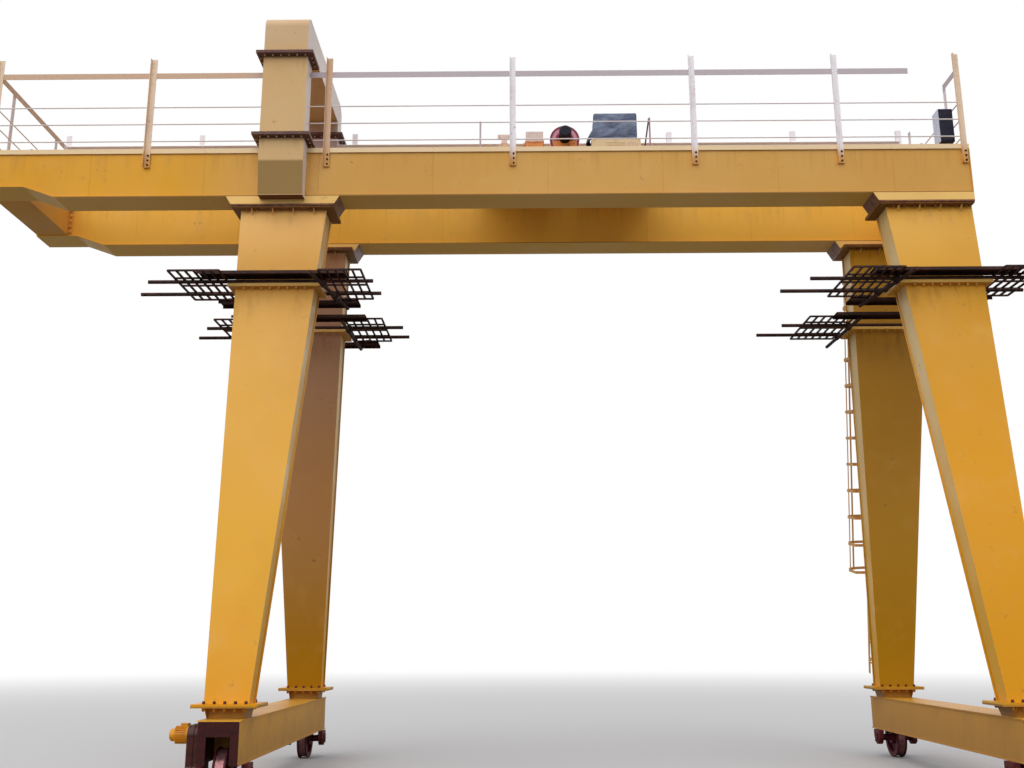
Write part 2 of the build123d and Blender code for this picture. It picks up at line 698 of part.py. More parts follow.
def saddle_bracket():
    """Welded bracket on the front girder's outer web, its face turning in below."""
    web = -GIRDER_PITCH / 2 - GIRDER_BOX_WIDTH / 2
    edge = -GIRDER_OUTER
    top = SADDLE_LOW_JOINT - JOINT_PLATE
    wall = SADDLE_PLATE
    half = SADDLE_WIDTH / 2
    strip_low = GIRDER_TOP - EDGE_STRIP_HEIGHT
    outline = [(edge, top), (-SADDLE_FACE, top), (-SADDLE_FACE, KNEE_TOP), (edge, KNEE_BOTTOM),
               (web, KNEE_BOTTOM), (web, strip_low), (edge, strip_low)]
    hollow = [(edge, top), (-SADDLE_FACE + wall, top), (-SADDLE_FACE + wall, KNEE_TOP + wall / 2),
              (edge, KNEE_BOTTOM + wall), (web, KNEE_BOTTOM + wall), (web, strip_low), (edge, strip_low)]
    body = prism_x(outline, SADDLE_X - half, SADDLE_X + half)
    body = body - prism_x(hollow, SADDLE_X - half + wall, SADDLE_X + half - wall)
    rest = block(SADDLE_X - half, SADDLE_X + half, edge, -SADDLE_FACE + SADDLE_DEPTH, GIRDER_TOP, top)
    return body + rest + saddle_plate(top)


def saddle_column():
    low = SADDLE_LOW_JOINT
    high = SADDLE_HIGH_JOINT
    tube = hollow_post(-SADDLE_FACE, -SADDLE_FACE + SADDLE_DEPTH, low, high)
    return tube + saddle_plate(low) + saddle_plate(high - JOINT_PLATE)


def saddle_beam():
    """Arched top of the saddle: a bent box with rounded outer corners."""
    half = SADDLE_WIDTH / 2
    low = SADDLE_HIGH_JOINT
    under = SADDLE_TOP - SADDLE_BEAM_DEPTH
    face = SADDLE_FACE
    inner = SADDLE_FACE - SADDLE_DEPTH

    def bend(inset, foot):
        outside = [(-face + inset, foot), (-face + inset, SADDLE_TOP - inset),
                   (face - inset, SADDLE_TOP - inset), (face - inset, foot)]
        inside = [(inner + inset, foot), (inner + inset, under + inset),
                  (-inner - inset, under + inset), (-inner - inset, foot)]
        width = half - inset
        solid = prism_x(outside + inside, SADDLE_X - width, SADDLE_X + width)
        corners = [edge for edge in solid.edges().filter_by(Axis.X)
                   if edge.center().Z > SADDLE_TOP - inset - 1]
        return fillet(corners, SADDLE_CORNER - inset)

    body = bend(0, low) - bend(SADDLE_PLATE, low)
    plate = saddle_plate(low)
    return body + plate + mirrored(plate)


# Railings


def post(x):
    """Angle post on the girder's outer edge, with a packer against the web."""
    face = -GIRDER_OUTER
    web = -GIRDER_PITCH / 2 - GIRDER_BOX_WIDTH / 2
    low = GIRDER_TOP - POST_BELOW
    high = GIRDER_TOP + POST_ABOVE
    half = RAIL_ANGLE / 2
    flat = block(x - half, x + half, face - ANGLE_THICKNESS, face, low, high)
    fin = block(x - half, x - half + ANGLE_THICKNESS, face - RAIL_ANGLE_FOOT, face, low, high)
    packer = block(x - half, x + half, face, web, low, low + POST_BELOW / 2)
    return [flat, fin, packer]


def railing_run(x0, x1, rail_end, places):
    """Posts, an angle top rail and three rods along the front girder."""
    face = -GIRDER_OUTER
    top = GIRDER_TOP + RAIL_HEIGHT
    rail = block(x0, rail_end, face, face + ANGLE_THICKNESS, top - RAIL_ANGLE, top)
    ledge = block(x0, rail_end, face, face + RAIL_ANGLE_FOOT, top - ANGLE_THICKNESS, top)
    rods = [rod_x(x0, x1, face + ROD_DIAMETER / 2 - OVERLAP, GIRDER_TOP + height, ROD_DIAMETER)
            for height in ROD_HEIGHTS]
    posts = [piece for x in places for piece in post(x)]
    return fused(posts + [rail, ledge] + rods)


def railing(rail_end):
    """Railing of the front girder, in two runs that end at the saddle column."""
    half = SADDLE_WIDTH / 2
    left = SADDLE_X - half
    right = SADDLE_X + half
    left_places = [x for x in POSTS if x < left]
    right_places = [x for x in POSTS if x > right]
    run_left = POSTS[0] - RAIL_ANGLE / 2
    run_right = POSTS[-1] + RAIL_ANGLE / 2
    return [railing_run(run_left, left, left, left_places),
            railing_run(right, run_right, rail_end, right_places)]


def end_railing(x, rail_reach):
    """Rods, two posts on the girders and a top rail between the last posts of both railings."""
    reach = GIRDER_OUTER - ROD_DIAMETER + OVERLAP
    top = GIRDER_TOP + RAIL_HEIGHT - ANGLE_THICKNESS
    pieces = [rod_y(x, -reach, reach, GIRDER_TOP + height, ROD_DIAMETER) for height in ROD_HEIGHTS]
    half = RAIL_ANGLE / 2
    thick = ANGLE_THICKNESS
    place = GIRDER_PITCH / 2 - GIRDER_FLANGE_WIDTH / 2 + half
    for row in (-1, 1):
        pieces.append(block(x - thick / 2, x + thick / 2, row * place - half, row * place + half,
                            GIRDER_TOP, top - half))
    rail = block(x - thick / 2, x + thick / 2, -GIRDER_OUTER + thick, rail_reach, top - RAIL_ANGLE, top)
    return fused([rail] + pieces)


# Ladder and cage


def ladder_line(height):
    """Distance of the ladder's middle plane from the crane's middle plane, at a height."""
    x, y, z, width, depth = leg_section(1, 1, LADDER_FOOT)
    low = y + depth / 2 + LADDER_STANDOFF
    high = GIRDER_OUTER + LADDER_HEAD_STANDOFF
    return low + (high - low) * (height - LADDER_FOOT) / (LADDER_TOP - LADDER_FOOT)


def ladder_frame():
    """Plane along the leaning ladder, with local Z pointing off the leg, and its stretch."""
    lean = (ladder_line(LADDER_TOP) - ladder_line(LADDER_FOOT)) / (LADDER_TOP - LADDER_FOOT)
    foot = (leg_section(1, 1, LADDER_FOOT)[0], ladder_line(LADDER_FOOT), LADDER_FOOT)
    return Plane(origin=foot, x_dir=(1, 0, 0), z_dir=(0, 1, -lean)), hypot(1, lean)


def leg_face(height):
    x, y, z, width, depth = leg_section(1, 1, height)
    return y + depth / 2


def ladder_brackets():
    """Flat plates that hold both side bars off the leg and off the girder's edge."""
    middle = leg_section(1, 1, LADDER_FOOT)[0]
    half = BRACKET_DEPTH / 2
    thick = LADDER_BAR_THICKNESS / 2
    outlines = []
    for rise in BRACKET_RISES:
        low = LADDER_FOOT + rise - half
        high = LADDER_FOOT + rise + half
        outlines.append([(leg_face(low), low), (ladder_line(low), low),
                         (ladder_line(high), high), (leg_face(high), high)])
    low = GIRDER_TOP - EDGE_STRIP_HEIGHT
    high = LADDER_TOP
    outlines.append([(GIRDER_OUTER, low), (ladder_line(low), low),
                     (ladder_line(high), high), (GIRDER_OUTER, high)])
    pieces = []
    for hand in (-1, 1):
        x = middle + hand * LADDER_WIDTH / 2
        pieces += [prism_x(outline, x - thick, x + thick) for outline in outlines]
    return pieces


def ladder():
    """Two flat bars and round rungs, with brackets to the leg."""
    plane, stretch = ladder_frame()
    length = (LADDER_TOP - LADDER_FOOT) * stretch
    pieces = []
    for hand in (-1, 1):
        bar = Pos(hand * LADDER_WIDTH / 2, -length / 2, 0) * Box(LADDER_BAR_THICKNESS, length, LADDER_BAR)
        pieces.append(bar)
    count = int((length - RUNG_PITCH / 2) // RUNG_PITCH)
    for step in range(count):
        y = -RUNG_PITCH * (step + 0.5)
        pieces.append(Pos(0, y, 0) * Rot(0, 90, 0) * Cylinder(RUNG_DIAMETER / 2, LADDER_WIDTH))
    return fused([plane * piece for piece in pieces] + ladder_brackets())


def ladder_cage():
    """Half-round hoops with straps along them, tied to the ladder's bars by flat tabs."""
    plane, stretch = ladder_frame()
    start = (CAGE_FOOT - LADDER_FOOT) * stretch
    rows = int((CAGE_TOP - CAGE_FOOT) * stretch // HOOP_PITCH)
    half = LADDER_WIDTH / 2 + LADDER_BAR_THICKNESS / 2
    centre = HOOP_CENTRE
    wall = HOOP_THICKNESS
    rim = HOOP_HEIGHT / 2
    ring = Cylinder(HOOP_RADIUS, HOOP_HEIGHT) - Cylinder(HOOP_RADIUS - wall, HOOP_HEIGHT)
    ring = Rot(90, 0, 0) * ring - block(-2 * HOOP_RADIUS, 2 * HOOP_RADIUS, -HOOP_HEIGHT, HOOP_HEIGHT,
                                        -2 * HOOP_RADIUS, 0)
    hoop = [Pos(0, 0, centre) * ring]
    for hand in (-1, 1):
        far = hand * HOOP_RADIUS
        near = far - hand * wall
        hoop.append(block(min(near, far), max(near, far), -rim, rim, 0, centre))
        hoop.append(block(min(hand * half, far), max(hand * half, far), -rim, rim, 0, wall))
    hoop = fused(hoop)
    pieces = [Pos(0, -start - row * HOOP_PITCH, 0) * hoop for row in range(rows + 1)]
    reach = rows * HOOP_PITCH + HOOP_HEIGHT
    for turn in STRAP_TURNS:
        strap = Pos(HOOP_RADIUS - 1.5 * wall + OVERLAP, 0, 0) * Box(wall, reach, STRAP_WIDTH)
        strap = Pos(0, -start - rows * HOOP_PITCH / 2, centre) * Rot(0, -turn, 0) * strap
        pieces.append(strap)
    return plane * fused(pieces)


# Working platforms


def grating(x, y, hand, width):
    """Welded grating beside a leg: bars across the crane over bars along it."""
    near = x + hand * (width / 2 + GRATE_GAP)
    half = GRATE_BAR / 2
    z = PLATFORM + PIPE_DIAMETER + half - OVERLAP
    count = round(GRATE_WIDTHS[hand] / GRATE_PITCH)
    far = near + hand * count * GRATE_PITCH
    pieces = []
    for place in range(count + 1):
        bar = near + hand * place * GRATE_PITCH
        pieces.append(block(bar - half, bar + half, y - GRATE_LENGTH / 2, y + GRATE_LENGTH / 2,
                            z - half, z + half))
    for place in range(GRATE_CROSS_BARS):
        bar = y + GRATE_LENGTH * (place / (GRATE_CROSS_BARS - 1) - 0.5)
        pieces.append(block(min(near, far), max(near, far), bar - half, bar + half, z - half, z + half))
    return pieces


def cross_pipe(side, row, reach):
    """Scaffold pipe coupled under the two long pipes, just off the joint plate's inner edge."""
    x, y, z, width, depth = leg_section(side, row, MID_JOINT)
    turn = CROSS_PIPE_TURNS[row]
    swing = (depth / 2 + MID_OVERHANG) * sin(radians(turn))
    place = x - side * (width / 2 + MID_OVERHANG + CROSS_PIPE_GAP + PIPE_DIAMETER / 2 + swing)
    pieces = [rod_y(0, -CROSS_PIPE_LENGTH / 2, CROSS_PIPE_LENGTH / 2, 0, PIPE_DIAMETER)]
    half = COUPLER / 2
    for face in (-1, 1):
        middle = face * reach
        pieces.append(block(-half, half, middle - half, middle + half, 0, PIPE_DIAMETER))
    return Pos(place, y, PLATFORM - PIPE_DIAMETER / 2 + OVERLAP) * Rot(0, 0, side * turn) * fused(pieces)


def platform_frame(side, row, shift):
    """Two scaffold pipes on the leg's joint, a cross pipe and a grating on each side of the leg."""
    x, y, z, width, depth = leg_section(side, row, MID_JOINT)
    reach = depth / 2 + PIPE_GAP
    pipe_z = PLATFORM + PIPE_DIAMETER / 2
    near = PIPE_LENGTHS["near"] / 2
    far = PIPE_LENGTHS["far"] / 2
    pieces = [rod_x(x + shift - near, x + shift + near, y - reach, pipe_z, PIPE_DIAMETER),
              rod_x(x + shift + FAR_PIPE_SHIFT - far, x + shift + FAR_PIPE_SHIFT + far, y + reach, pipe_z,
                    PIPE_DIAMETER),
              cross_pipe(side, row, reach)]
    for hand in (-1, 1):
        pieces += grating(x, y, hand, width)
    return fused(pieces)


def plank(x, near, far, top):
    """Folded steel scaffold plank, open below and at its ends."""
    y0 = min(near, far)
    y1 = max(near, far)
    low = top - PLANK_THICKNESS
    sheet = PLANK_SHEET
    body = block(x - PLANK_LENGTH / 2, x + PLANK_LENGTH / 2, y0, y1, low, top)
    return body - block(x - PLANK_LENGTH / 2, x + PLANK_LENGTH / 2, y0 + sheet, y1 - sheet, low, top - sheet)


def outer_plank(side, row):
    """Scaffold plank lying on both gratings beside the leg's outer face."""
    x, y, z, width, depth = leg_section(side, row, MID_JOINT)
    low = PLATFORM + PIPE_DIAMETER + GRATE_BAR - OVERLAP
    near = y + row * (depth / 2 + PLANK_GAP)
    return plank(x, near, near + row * PLANK_WIDTH, low + PLANK_THICKNESS)


def hung_plank(side, row, face):
    """Scaffold plank hung beside the gratings' ends by hooks over their last bars."""
    x, y, z, width, depth = leg_section(side, row, MID_JOINT)
    top = PLATFORM + PIPE_DIAMETER - OVERLAP
    bar_top = top + GRATE_BAR
    edge = y + face * (GRATE_LENGTH / 2 + GRATE_BAR / 2)
    pieces = [plank(x, edge, edge + face * PLANK_WIDTH, top)]
    root = edge + face * HOOK_THICKNESS
    tip = edge - face * GRATE_BAR
    half = HOOK_WIDTH / 2
    for hand in (-1, 1):
        middle = x + hand * (width / 2 + GRATE_GAP + GRATE_PITCH * 1.5)
        pieces.append(block(middle - half, middle + half, min(edge, root), max(edge, root),
                            top - OVERLAP, bar_top + HOOK_THICKNESS))
        pieces.append(block(middle - half, middle + half, min(tip, root), max(tip, root),
                            bar_top, bar_top + HOOK_THICKNESS))
    return fused(pieces)


# Trolley


def trolley_frame():
    """Deck on two side beams, with a slot for the ropes under the drum."""
    deck_low = DECK - DECK_PLATE
    body = block(TROLLEY_LEFT, TROLLEY_RIGHT, -DECK_EDGE, DECK_EDGE, deck_low, DECK)
    slot_left = DRUM_X - ROPE_SLOT_LENGTH / 2
    slot_right = DRUM_X + ROPE_SLOT_LENGTH / 2
    pieces = [body - block(slot_left, slot_right, -ROPE_SLOT_WIDTH / 2, ROPE_SLOT_WIDTH / 2, deck_low, DECK)]
    low = deck_low - SIDE_BEAM_HEIGHT
    for row in (-1, 1):
        near = min(row * DECK_EDGE, row * (DECK_EDGE - SIDE_BEAM_WIDTH))
        far = near + SIDE_BEAM_WIDTH
        beam = block(TROLLEY_LEFT, TROLLEY_RIGHT, near, far, low, deck_low)
        hollow = block(TROLLEY_LEFT, TROLLEY_RIGHT, near + DECK_PLATE, far - DECK_PLATE,
                       low + DECK_PLATE, deck_low - DECK_PLATE)
        pieces.append(beam - hollow)
    half = CROSS_BEAM_WIDTH / 2
    inner = DECK_EDGE - SIDE_BEAM_WIDTH + OVERLAP
    for x in (TROLLEY_LEFT + half, slot_left - half, slot_right + half, TROLLEY_RIGHT - half):
        pieces.append(block(x - half, x + half, -inner, inner, deck_low - CROSS_BEAM_HEIGHT, deck_low))
    return fused(pieces)


def trolley_wheels():
    """Flanged wheels on stub axles outside the side beams."""
    tread = TROLLEY_RAIL / 2 + TROLLEY_WHEEL_GAP
    edge = TROLLEY_WHEEL_WIDTH / 2
    radius = TROLLEY_WHEEL_DIAMETER / 2
    rim = radius + TROLLEY_WHEEL_FLANGE
    stub = SIDE_BEAM_GAP
    axle = TROLLEY_AXLE / 2
    outline = [(0, -stub), (axle, -stub), (axle, -edge), (rim, -edge), (rim, -tread), (radius, -tread),
               (radius, tread), (rim, tread), (rim, edge), (axle, edge), (axle, edge + TROLLEY_CAP),
               (0, edge + TROLLEY_CAP)]
    pieces = []
    for row in (-1, 1):
        turned = revolve(make_face(Polyline(*[(r, row * a) for r, a in outline], close=True)),
                         axis=Axis.Y, revolution_arc=360)
        for x in (TROLLEY_LEFT + TROLLEY_WHEEL_INSETS[0], TROLLEY_RIGHT - TROLLEY_WHEEL_INSETS[1]):
            pieces.append(Pos(x, row * TROLLEY_GAUGE / 2, TROLLEY_AXIS) * turned)
    return pieces


def drum_profile():
    """Half section of the drum: radius and place along the axis, with rope grooves."""
    half = DRUM_LENGTH / 2
    flange = DRUM_FLANGE_DIAMETER / 2
    radius = DRUM_DIAMETER / 2
    shaft = DRUM_SHAFT / 2
    hub = DRUM_HUB / 2
    boss = half + DRUM_HUB_REACH
    journal = half + DRUM_GAP + PEDESTAL_THICKNESS - JOURNAL_GAP
    inner = half - DRUM_FLANGE
    points = [(0, -journal), (shaft, -journal), (shaft, -boss), (hub, -boss), (hub, -half), (flange, -half),
              (flange, -inner), (radius, -inner)]
    count = int((DRUM_LENGTH - 4 * DRUM_FLANGE) // GROOVE_PITCH)
    start = -count * GROOVE_PITCH / 2
    for groove in range(count):
        y = start + groove * GROOVE_PITCH
        end = y + GROOVE_PITCH - GROOVE_LAND
        points += [(radius, y + GROOVE_LAND), (radius - GROOVE_DEPTH, y + GROOVE_LAND + GROOVE_SLOPE),
                   (radius - GROOVE_DEPTH, end - GROOVE_SLOPE), (radius, end)]
    points += [(radius, inner), (flange, inner), (flange, half), (hub, half), (hub, boss), (shaft, boss),
               (shaft, journal), (0, journal)]
    return points


def hoist_drum():
    solid = revolve(make_face(Polyline(*drum_profile(), close=True)), axis=Axis.Y, revolution_arc=360)
    return Pos(DRUM_X, 0, DRUM_AXIS) * solid


def drum_pedestals():
    """Bearing pedestals at the drum's ends, each a wide foot with a narrow stem and a boss."""
    pieces = []
    foot = BEARING_FOOT_WIDTH / 2
    stem = BEARING_STEM_WIDTH / 2
    for row in (-1, 1):
        near = row * (DRUM_LENGTH / 2 + DRUM_GAP)
        far = near + row * PEDESTAL_THICKNESS
        low = min(near, far)
        high = max(near, far)
        bore = rod_y(DRUM_X, low - 1, high + 1, DRUM_AXIS, DRUM_SHAFT + 2 * BORE_CLEARANCE)
        pieces.append(fused([block(DRUM_X - foot, DRUM_X + foot, low, high, DECK, DECK + BEARING_FOOT_HEIGHT),
                             block(DRUM_X - stem, DRUM_X + stem, low, high, DECK, DRUM_AXIS),
                             rod_y(DRUM_X, low, high, DRUM_AXIS, BEARING_BOSS)]) - bore)
    return pieces


def hoist_motor():
    """Motor bolted to the front pedestal in line with the drum, with a terminal box on top."""
    start = DRUM_LENGTH / 2 + DRUM_GAP + PEDESTAL_THICKNESS
    end = start + HOIST_MOTOR_LENGTH
    cover = end - HOIST_MOTOR_COVER
    wide = HOIST_MOTOR_DIAMETER / 2
    body = HOIST_MOTOR_BODY / 2
    chamfer = HOIST_MOTOR_COVER / 5
    outline = [(0, start), (wide, start), (wide, start + HOIST_MOTOR_FLANGE), (body, start + HOIST_MOTOR_FLANGE),
               (body, cover), (wide, cover), (wide, end - chamfer), (wide - chamfer, end), (0, end)]
    turned = revolve(make_face(Polyline(*[(r, -a) for r, a in outline], close=True)),
                     axis=Axis.Y, revolution_arc=360)
    middle = -(start + cover) / 2
    half = TERMINAL_BOX / 2
    box = block(-half, half, middle - half, middle + half, 0, body + TERMINAL_BOX_RISE)
    return Pos(DRUM_X, 0, DRUM_AXIS) * (turned + box)


def gear_case():
    """Box-shaped hoist gear case on the deck beside the drum, with a joint rim and a shaft end."""
    x = DRUM_X - CASE_FROM_DRUM
    y = -DECK_EDGE + CASE_PLACE
    half = CASE_WIDTH / 2
    depth = CASE_DEPTH / 2
    top = DECK + CASE_HEIGHT
    middle = DECK + CASE_HEIGHT / 2
    case = block(x - half, x + half, y - depth, y + depth, DECK, top)
    rim = block(x - half - CASE_RIM, x + half + CASE_RIM, y - depth - CASE_RIM, y + depth + CASE_RIM,
                middle - CASE_RIM_HEIGHT / 2, middle + CASE_RIM_HEIGHT / 2)
    stub = rod_x(x - half - CASE_STUB_REACH, x, y, middle, CASE_STUB)
    pin = rod_z(x, y, middle, top + CASE_PIN_HEIGHT, CASE_PIN)
    return fused([case, rim, stub, pin])


def cabinet_limits():
    """X and Y limits of the covered cabinet: left, right, front, back."""
    left = DRUM_X + CABINET_FROM_DRUM
    front = -DECK_EDGE + CABINET_PLACE
    return left, left + CABINET_WIDTH, front, front + CABINET_DEPTH


def cabinet():
    """Electric cabinet of sheet steel on a wider plinth, both open to the deck below."""
    left, right, front, back = cabinet_limits()
    top = DECK + CABINET_HEIGHT - COVER_THICKNESS - COVER_GAP

    def solid(inset):
        lip = CABINET_BASE_LIP - inset
        slack = COVER_SLACK + inset
        plinth = block(left - lip, right + lip, front - lip, back + lip, DECK,
                       DECK + CABINET_BASE_HEIGHT - inset)
        return plinth + block(left + slack, right - slack, front + slack, back - slack, DECK, top - inset)

    return solid(0) - solid(CABINET_SHEET)


def cabinet_cover():
    """Sheet over the cabinet, open below."""
    left, right, front, back = cabinet_limits()
    low = DECK + CABINET_BASE_HEIGHT + COVER_FOOT_GAP
    top = DECK + CABINET_HEIGHT
    wall = COVER_THICKNESS
    outer = block(left, right, front, back, low, top)
    return outer - block(left + wall, right - wall, front + wall, back - wall, low, top - wall)


def bent_frame():
    """Thin upright bar with a second one leaning against its top."""
    x = TROLLEY_RIGHT - STRUT_PLACE
    half = STRUT_BAR / 2
    y = -DECK_EDGE + CABINET_PLACE
    top = DECK + STRUT_HEIGHT
    upright = block(x - half, x + half, y - half, y + half, DECK, top)
    foot = x - STRUT_SPREAD
    lean = prism_y([(foot - half, DECK), (foot + half, DECK), (x, top - STRUT_TOP_GAP),
                    (x - STRUT_BAR, top - STRUT_TOP_GAP)], y - half, y + half)
    return upright + lean


def limit_posts():
    """Thin rod, T-headed post and small bent frame standing on the deck."""
    y = -DECK_EDGE + POST_ROW
    rod = rod_z(TROLLEY_LEFT + ROD_PLACE, y, DECK, DECK + LIMIT_ROD_HEIGHT, LIMIT_ROD)
    x = TROLLEY_LEFT + TEE_PLACE
    stem_x, stem_y = TEE_STEM
    head_x, head_y = TEE_HEAD
    neck = DECK + TEE_HEIGHT
    stem = block(x - stem_x / 2, x + stem_x / 2, y - stem_y / 2, y + stem_y / 2, DECK, neck)
    head = block(x - head_x / 2, x + head_x / 2, y - head_y / 2, y + head_y / 2, neck, neck + TEE_HEAD_HEIGHT)
    return [rod, stem + head, bent_frame()]


def junction_box():
    """Closed box hung inside the right end railing, beside its front post."""
    face = POSTS[-1] - ROD_DIAMETER / 2
    front = -GIRDER_PITCH / 2
    low = GIRDER_TOP + BOX_RISE
    return block(face - BOX_WIDTH, face, front, front + BOX_DEPTH, low, low + BOX_HEIGHT)


NODES = {}


def add(name, shape):
    pieces = shape if isinstance(shape, list) else [shape]
    NODES[name] = Compound(children=pieces) if len(pieces) > 1 else pieces[0]


front = girder()
add("front_girder", front)
add("back_girder", mirrored(front))
add("end_ties", [left_end_tie(), right_end_tie()])
add("trolley_rails", trolley_rails())
add("rail_stops", rail_stops())
front_seats = [seat(side) for side in SIDES.values()]
add("front_girder_seats", front_seats)
add("back_girder_seats", [mirrored(piece) for piece in front_seats])
for side_name, side_sign in SIDES.items():
    for row_name, row_sign in ROWS.items():
        add(f"{row_name}_{side_name}_upper_leg", upper_leg(side_sign, row_sign))
        add(f"{row_name}_{side_name}_lower_leg", lower_leg(side_sign, row_sign))
        add(f"{row_name}_{side_name}_platform",
            platform_frame(side_sign, row_sign, PIPE_SHIFTS[side_name, row_name]))
    add(f"{side_name}_ground_beam", ground_beam(side_sign))
add("travel_wheels", wheels(-1) + wheels(1))
add("wheel_bearings", wheel_bearings(-1) + wheel_bearings(1))
add("travel_drives", [travel_drive(-1), travel_drive(1)])
bracket = saddle_bracket()
column = saddle_column()
add("saddle_brackets", [bracket, mirrored(bracket)])
add("saddle_columns", [column, mirrored(column)])
add("saddle_beam", saddle_beam())
add("front_railing", railing(RIGHT_END - TOP_RAIL_GAP))
add("back_railing", [mirrored(piece) for piece in railing(POSTS[-1])])
add("end_railings", [end_railing(POSTS[0], GIRDER_OUTER - ANGLE_THICKNESS),
                     end_railing(POSTS[-1], -GIRDER_PITCH / 2 + GIRDER_FLANGE_WIDTH / 2)])
add("junction_box", junction_box())
add("ladder", ladder())
add("ladder_cage", ladder_cage())
add("left_planks", [outer_plank(-1, -1), hung_plank(-1, -1, 1), hung_plank(-1, 1, 1), hung_plank(-1, 1, -1)])
add("right_planks", [outer_plank(1, -1), hung_plank(1, -1, 1), hung_plank(1, 1, -1)])
add("trolley_frame", trolley_frame())
add("trolley_wheels", trolley_wheels())
add("hoist_drum", hoist_drum())
add("drum_pedestals", drum_pedestals())
add("hoist_motor", hoist_motor())
add("hoist_gear_case", gear_case())
add("electric_cabinet", cabinet())
add("cabinet_cover", cabinet_cover())
add("limit_posts", limit_posts())

os.makedirs("parts", exist_ok=True)
for node, solid in NODES.items():
    export_step(solid, f"parts/{node}.step")
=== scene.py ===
import math
import random

import bmesh
import bpy
from mathutils import Matrix, Vector


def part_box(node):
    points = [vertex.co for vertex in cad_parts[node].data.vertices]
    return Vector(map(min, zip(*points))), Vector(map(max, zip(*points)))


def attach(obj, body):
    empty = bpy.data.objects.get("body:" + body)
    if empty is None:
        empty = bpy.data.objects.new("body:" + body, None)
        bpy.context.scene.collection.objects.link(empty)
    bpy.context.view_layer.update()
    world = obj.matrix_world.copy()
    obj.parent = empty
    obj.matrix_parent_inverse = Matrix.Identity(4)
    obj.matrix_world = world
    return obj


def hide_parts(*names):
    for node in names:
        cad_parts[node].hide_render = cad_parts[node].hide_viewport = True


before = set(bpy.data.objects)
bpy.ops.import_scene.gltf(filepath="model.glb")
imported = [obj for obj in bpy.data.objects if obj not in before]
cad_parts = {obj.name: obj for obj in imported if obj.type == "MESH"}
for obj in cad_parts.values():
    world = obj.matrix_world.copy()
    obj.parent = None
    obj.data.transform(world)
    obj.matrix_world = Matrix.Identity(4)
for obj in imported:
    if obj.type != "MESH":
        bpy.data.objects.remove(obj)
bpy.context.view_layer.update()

# The view
# A person stands in the yard in front of the crane, a little to the left of its middle,
# and looks slightly up at the girders from eye height.

EYE = (-1.108, -14.061, 1.6)
LOOK_UP = 0.23658
LOOK_LEFT = 0.00886
HEAD_TILT = -0.00259
LENS = 37.72

camera = bpy.data.objects.new("camera", bpy.data.cameras.new("camera"))
camera.data.lens = LENS
camera.data.sensor_width = 36
camera.data.clip_end = 400
camera.matrix_world = (Matrix.Translation(EYE) @ Matrix.Rotation(LOOK_LEFT, 4, "Z")
                       @ Matrix.Rotation(math.pi / 2 + LOOK_UP, 4, "X") @ Matrix.Rotation(HEAD_TILT, 4, "Z"))
bpy.context.collection.objects.link(camera)
bpy.context.scene.camera = camera
bpy.context.scene.view_settings.view_transform = "Standard"


# Floor and sky
# The yard is a plain pale floor that fades into a white, overcast sky. The sky lights
# everything softly, and a wide lamp in front takes the place of its bright side.

FLOOR_SIZE = 160
FLOOR_COLOUR = 205
FADE_START = 14
FADE_END = 55
SKY_STRENGTH = 0.62
LAMP_STRENGTH = 1.9
LAMP_SPREAD = 80
LAMP_TILT = 42
LAMP_TURN = -22


def rgb(red, green, blue):
    """A colour named by its screen values from 0 to 255, as the linear colour that nodes take."""
    def linear(value):
        share = value / 255
        return share / 12.92 if share <= 0.04045 else ((share + 0.055) / 1.055) ** 2.4
    return linear(red), linear(green), linear(blue), 1.0


class Shade:
    """A number, colour or vector on its way through a material's nodes."""

    def __init__(self, tree, socket=None):
        self.tree = tree
        self.socket = socket

    def node(self, kind, settings=None, inputs=None, out=0):
        """Adds a node: its type, its settings, then the values or links of its inputs."""
        made = self.tree.nodes.new(kind)
        for name, value in (settings or {}).items():
            setattr(made, name, value)
        for name, value in (inputs or {}).items():
            if isinstance(value, Shade):
                self.tree.links.new(value.socket, made.inputs[name])
            else:
                made.inputs[name].default_value = value
        return Shade(self.tree, made.outputs[out] if made.outputs else None)

    def maths(self, operation, first, second=0.0):
        return self.node("ShaderNodeMath", {"operation": operation}, {0: first, 1: second})

    def __add__(self, other):
        return self.maths("ADD", self, other)

    __radd__ = __add__

    def __sub__(self, other):
        return self.maths("SUBTRACT", self, other)

    def __rsub__(self, other):
        return self.maths("SUBTRACT", other, self)

    def __mul__(self, other):
        return self.maths("MULTIPLY", self, other)

    def __or__(self, other):
        """The greater of two masks."""
        return self.maths("MAXIMUM", self, other)

    def __abs__(self):
        return self.maths("ABSOLUTE", self)

    def step(self, low, high):
        """0 below low, 1 above high, and a smooth change between them."""
        return self.node("ShaderNodeMapRange", {"interpolation_type": "SMOOTHSTEP"},
                         {"Value": self, "From Min": low, "From Max": high})

    def blend(self, plain, other):
        """One colour or the other, by this share."""
        return self.node("ShaderNodeMix", {"data_type": "RGBA"}, {0: self, 6: plain, 7: other}, out=2)

    def near(self, level, half):
        """1 at a level, 0 from half away from it."""
        return 1 - abs(self - level).step(0.3 * half, half)

    def stretched(self, x, y, z):
        return self.node("ShaderNodeMapping", None, {"Vector": self, "Scale": (x, y, z)})

    def noise(self, scale, detail=3.0, roughness=0.55):
        return self.node("ShaderNodeTexNoise", None,
                         {"Vector": self, "Scale": scale, "Detail": detail, "Roughness": roughness})

    def axes(self):
        """X, Y and Z of this vector."""
        return [self.node("ShaderNodeSeparateXYZ", None, {0: self}, out=place) for place in range(3)]


def new_material(name):
    """An empty material and the place on the object, in metres."""
    material = bpy.data.materials.new(name)
    material.use_nodes = True
    material.node_tree.nodes.clear()
    place = Shade(material.node_tree).node("ShaderNodeTexCoord", out="Object")
    return material, place


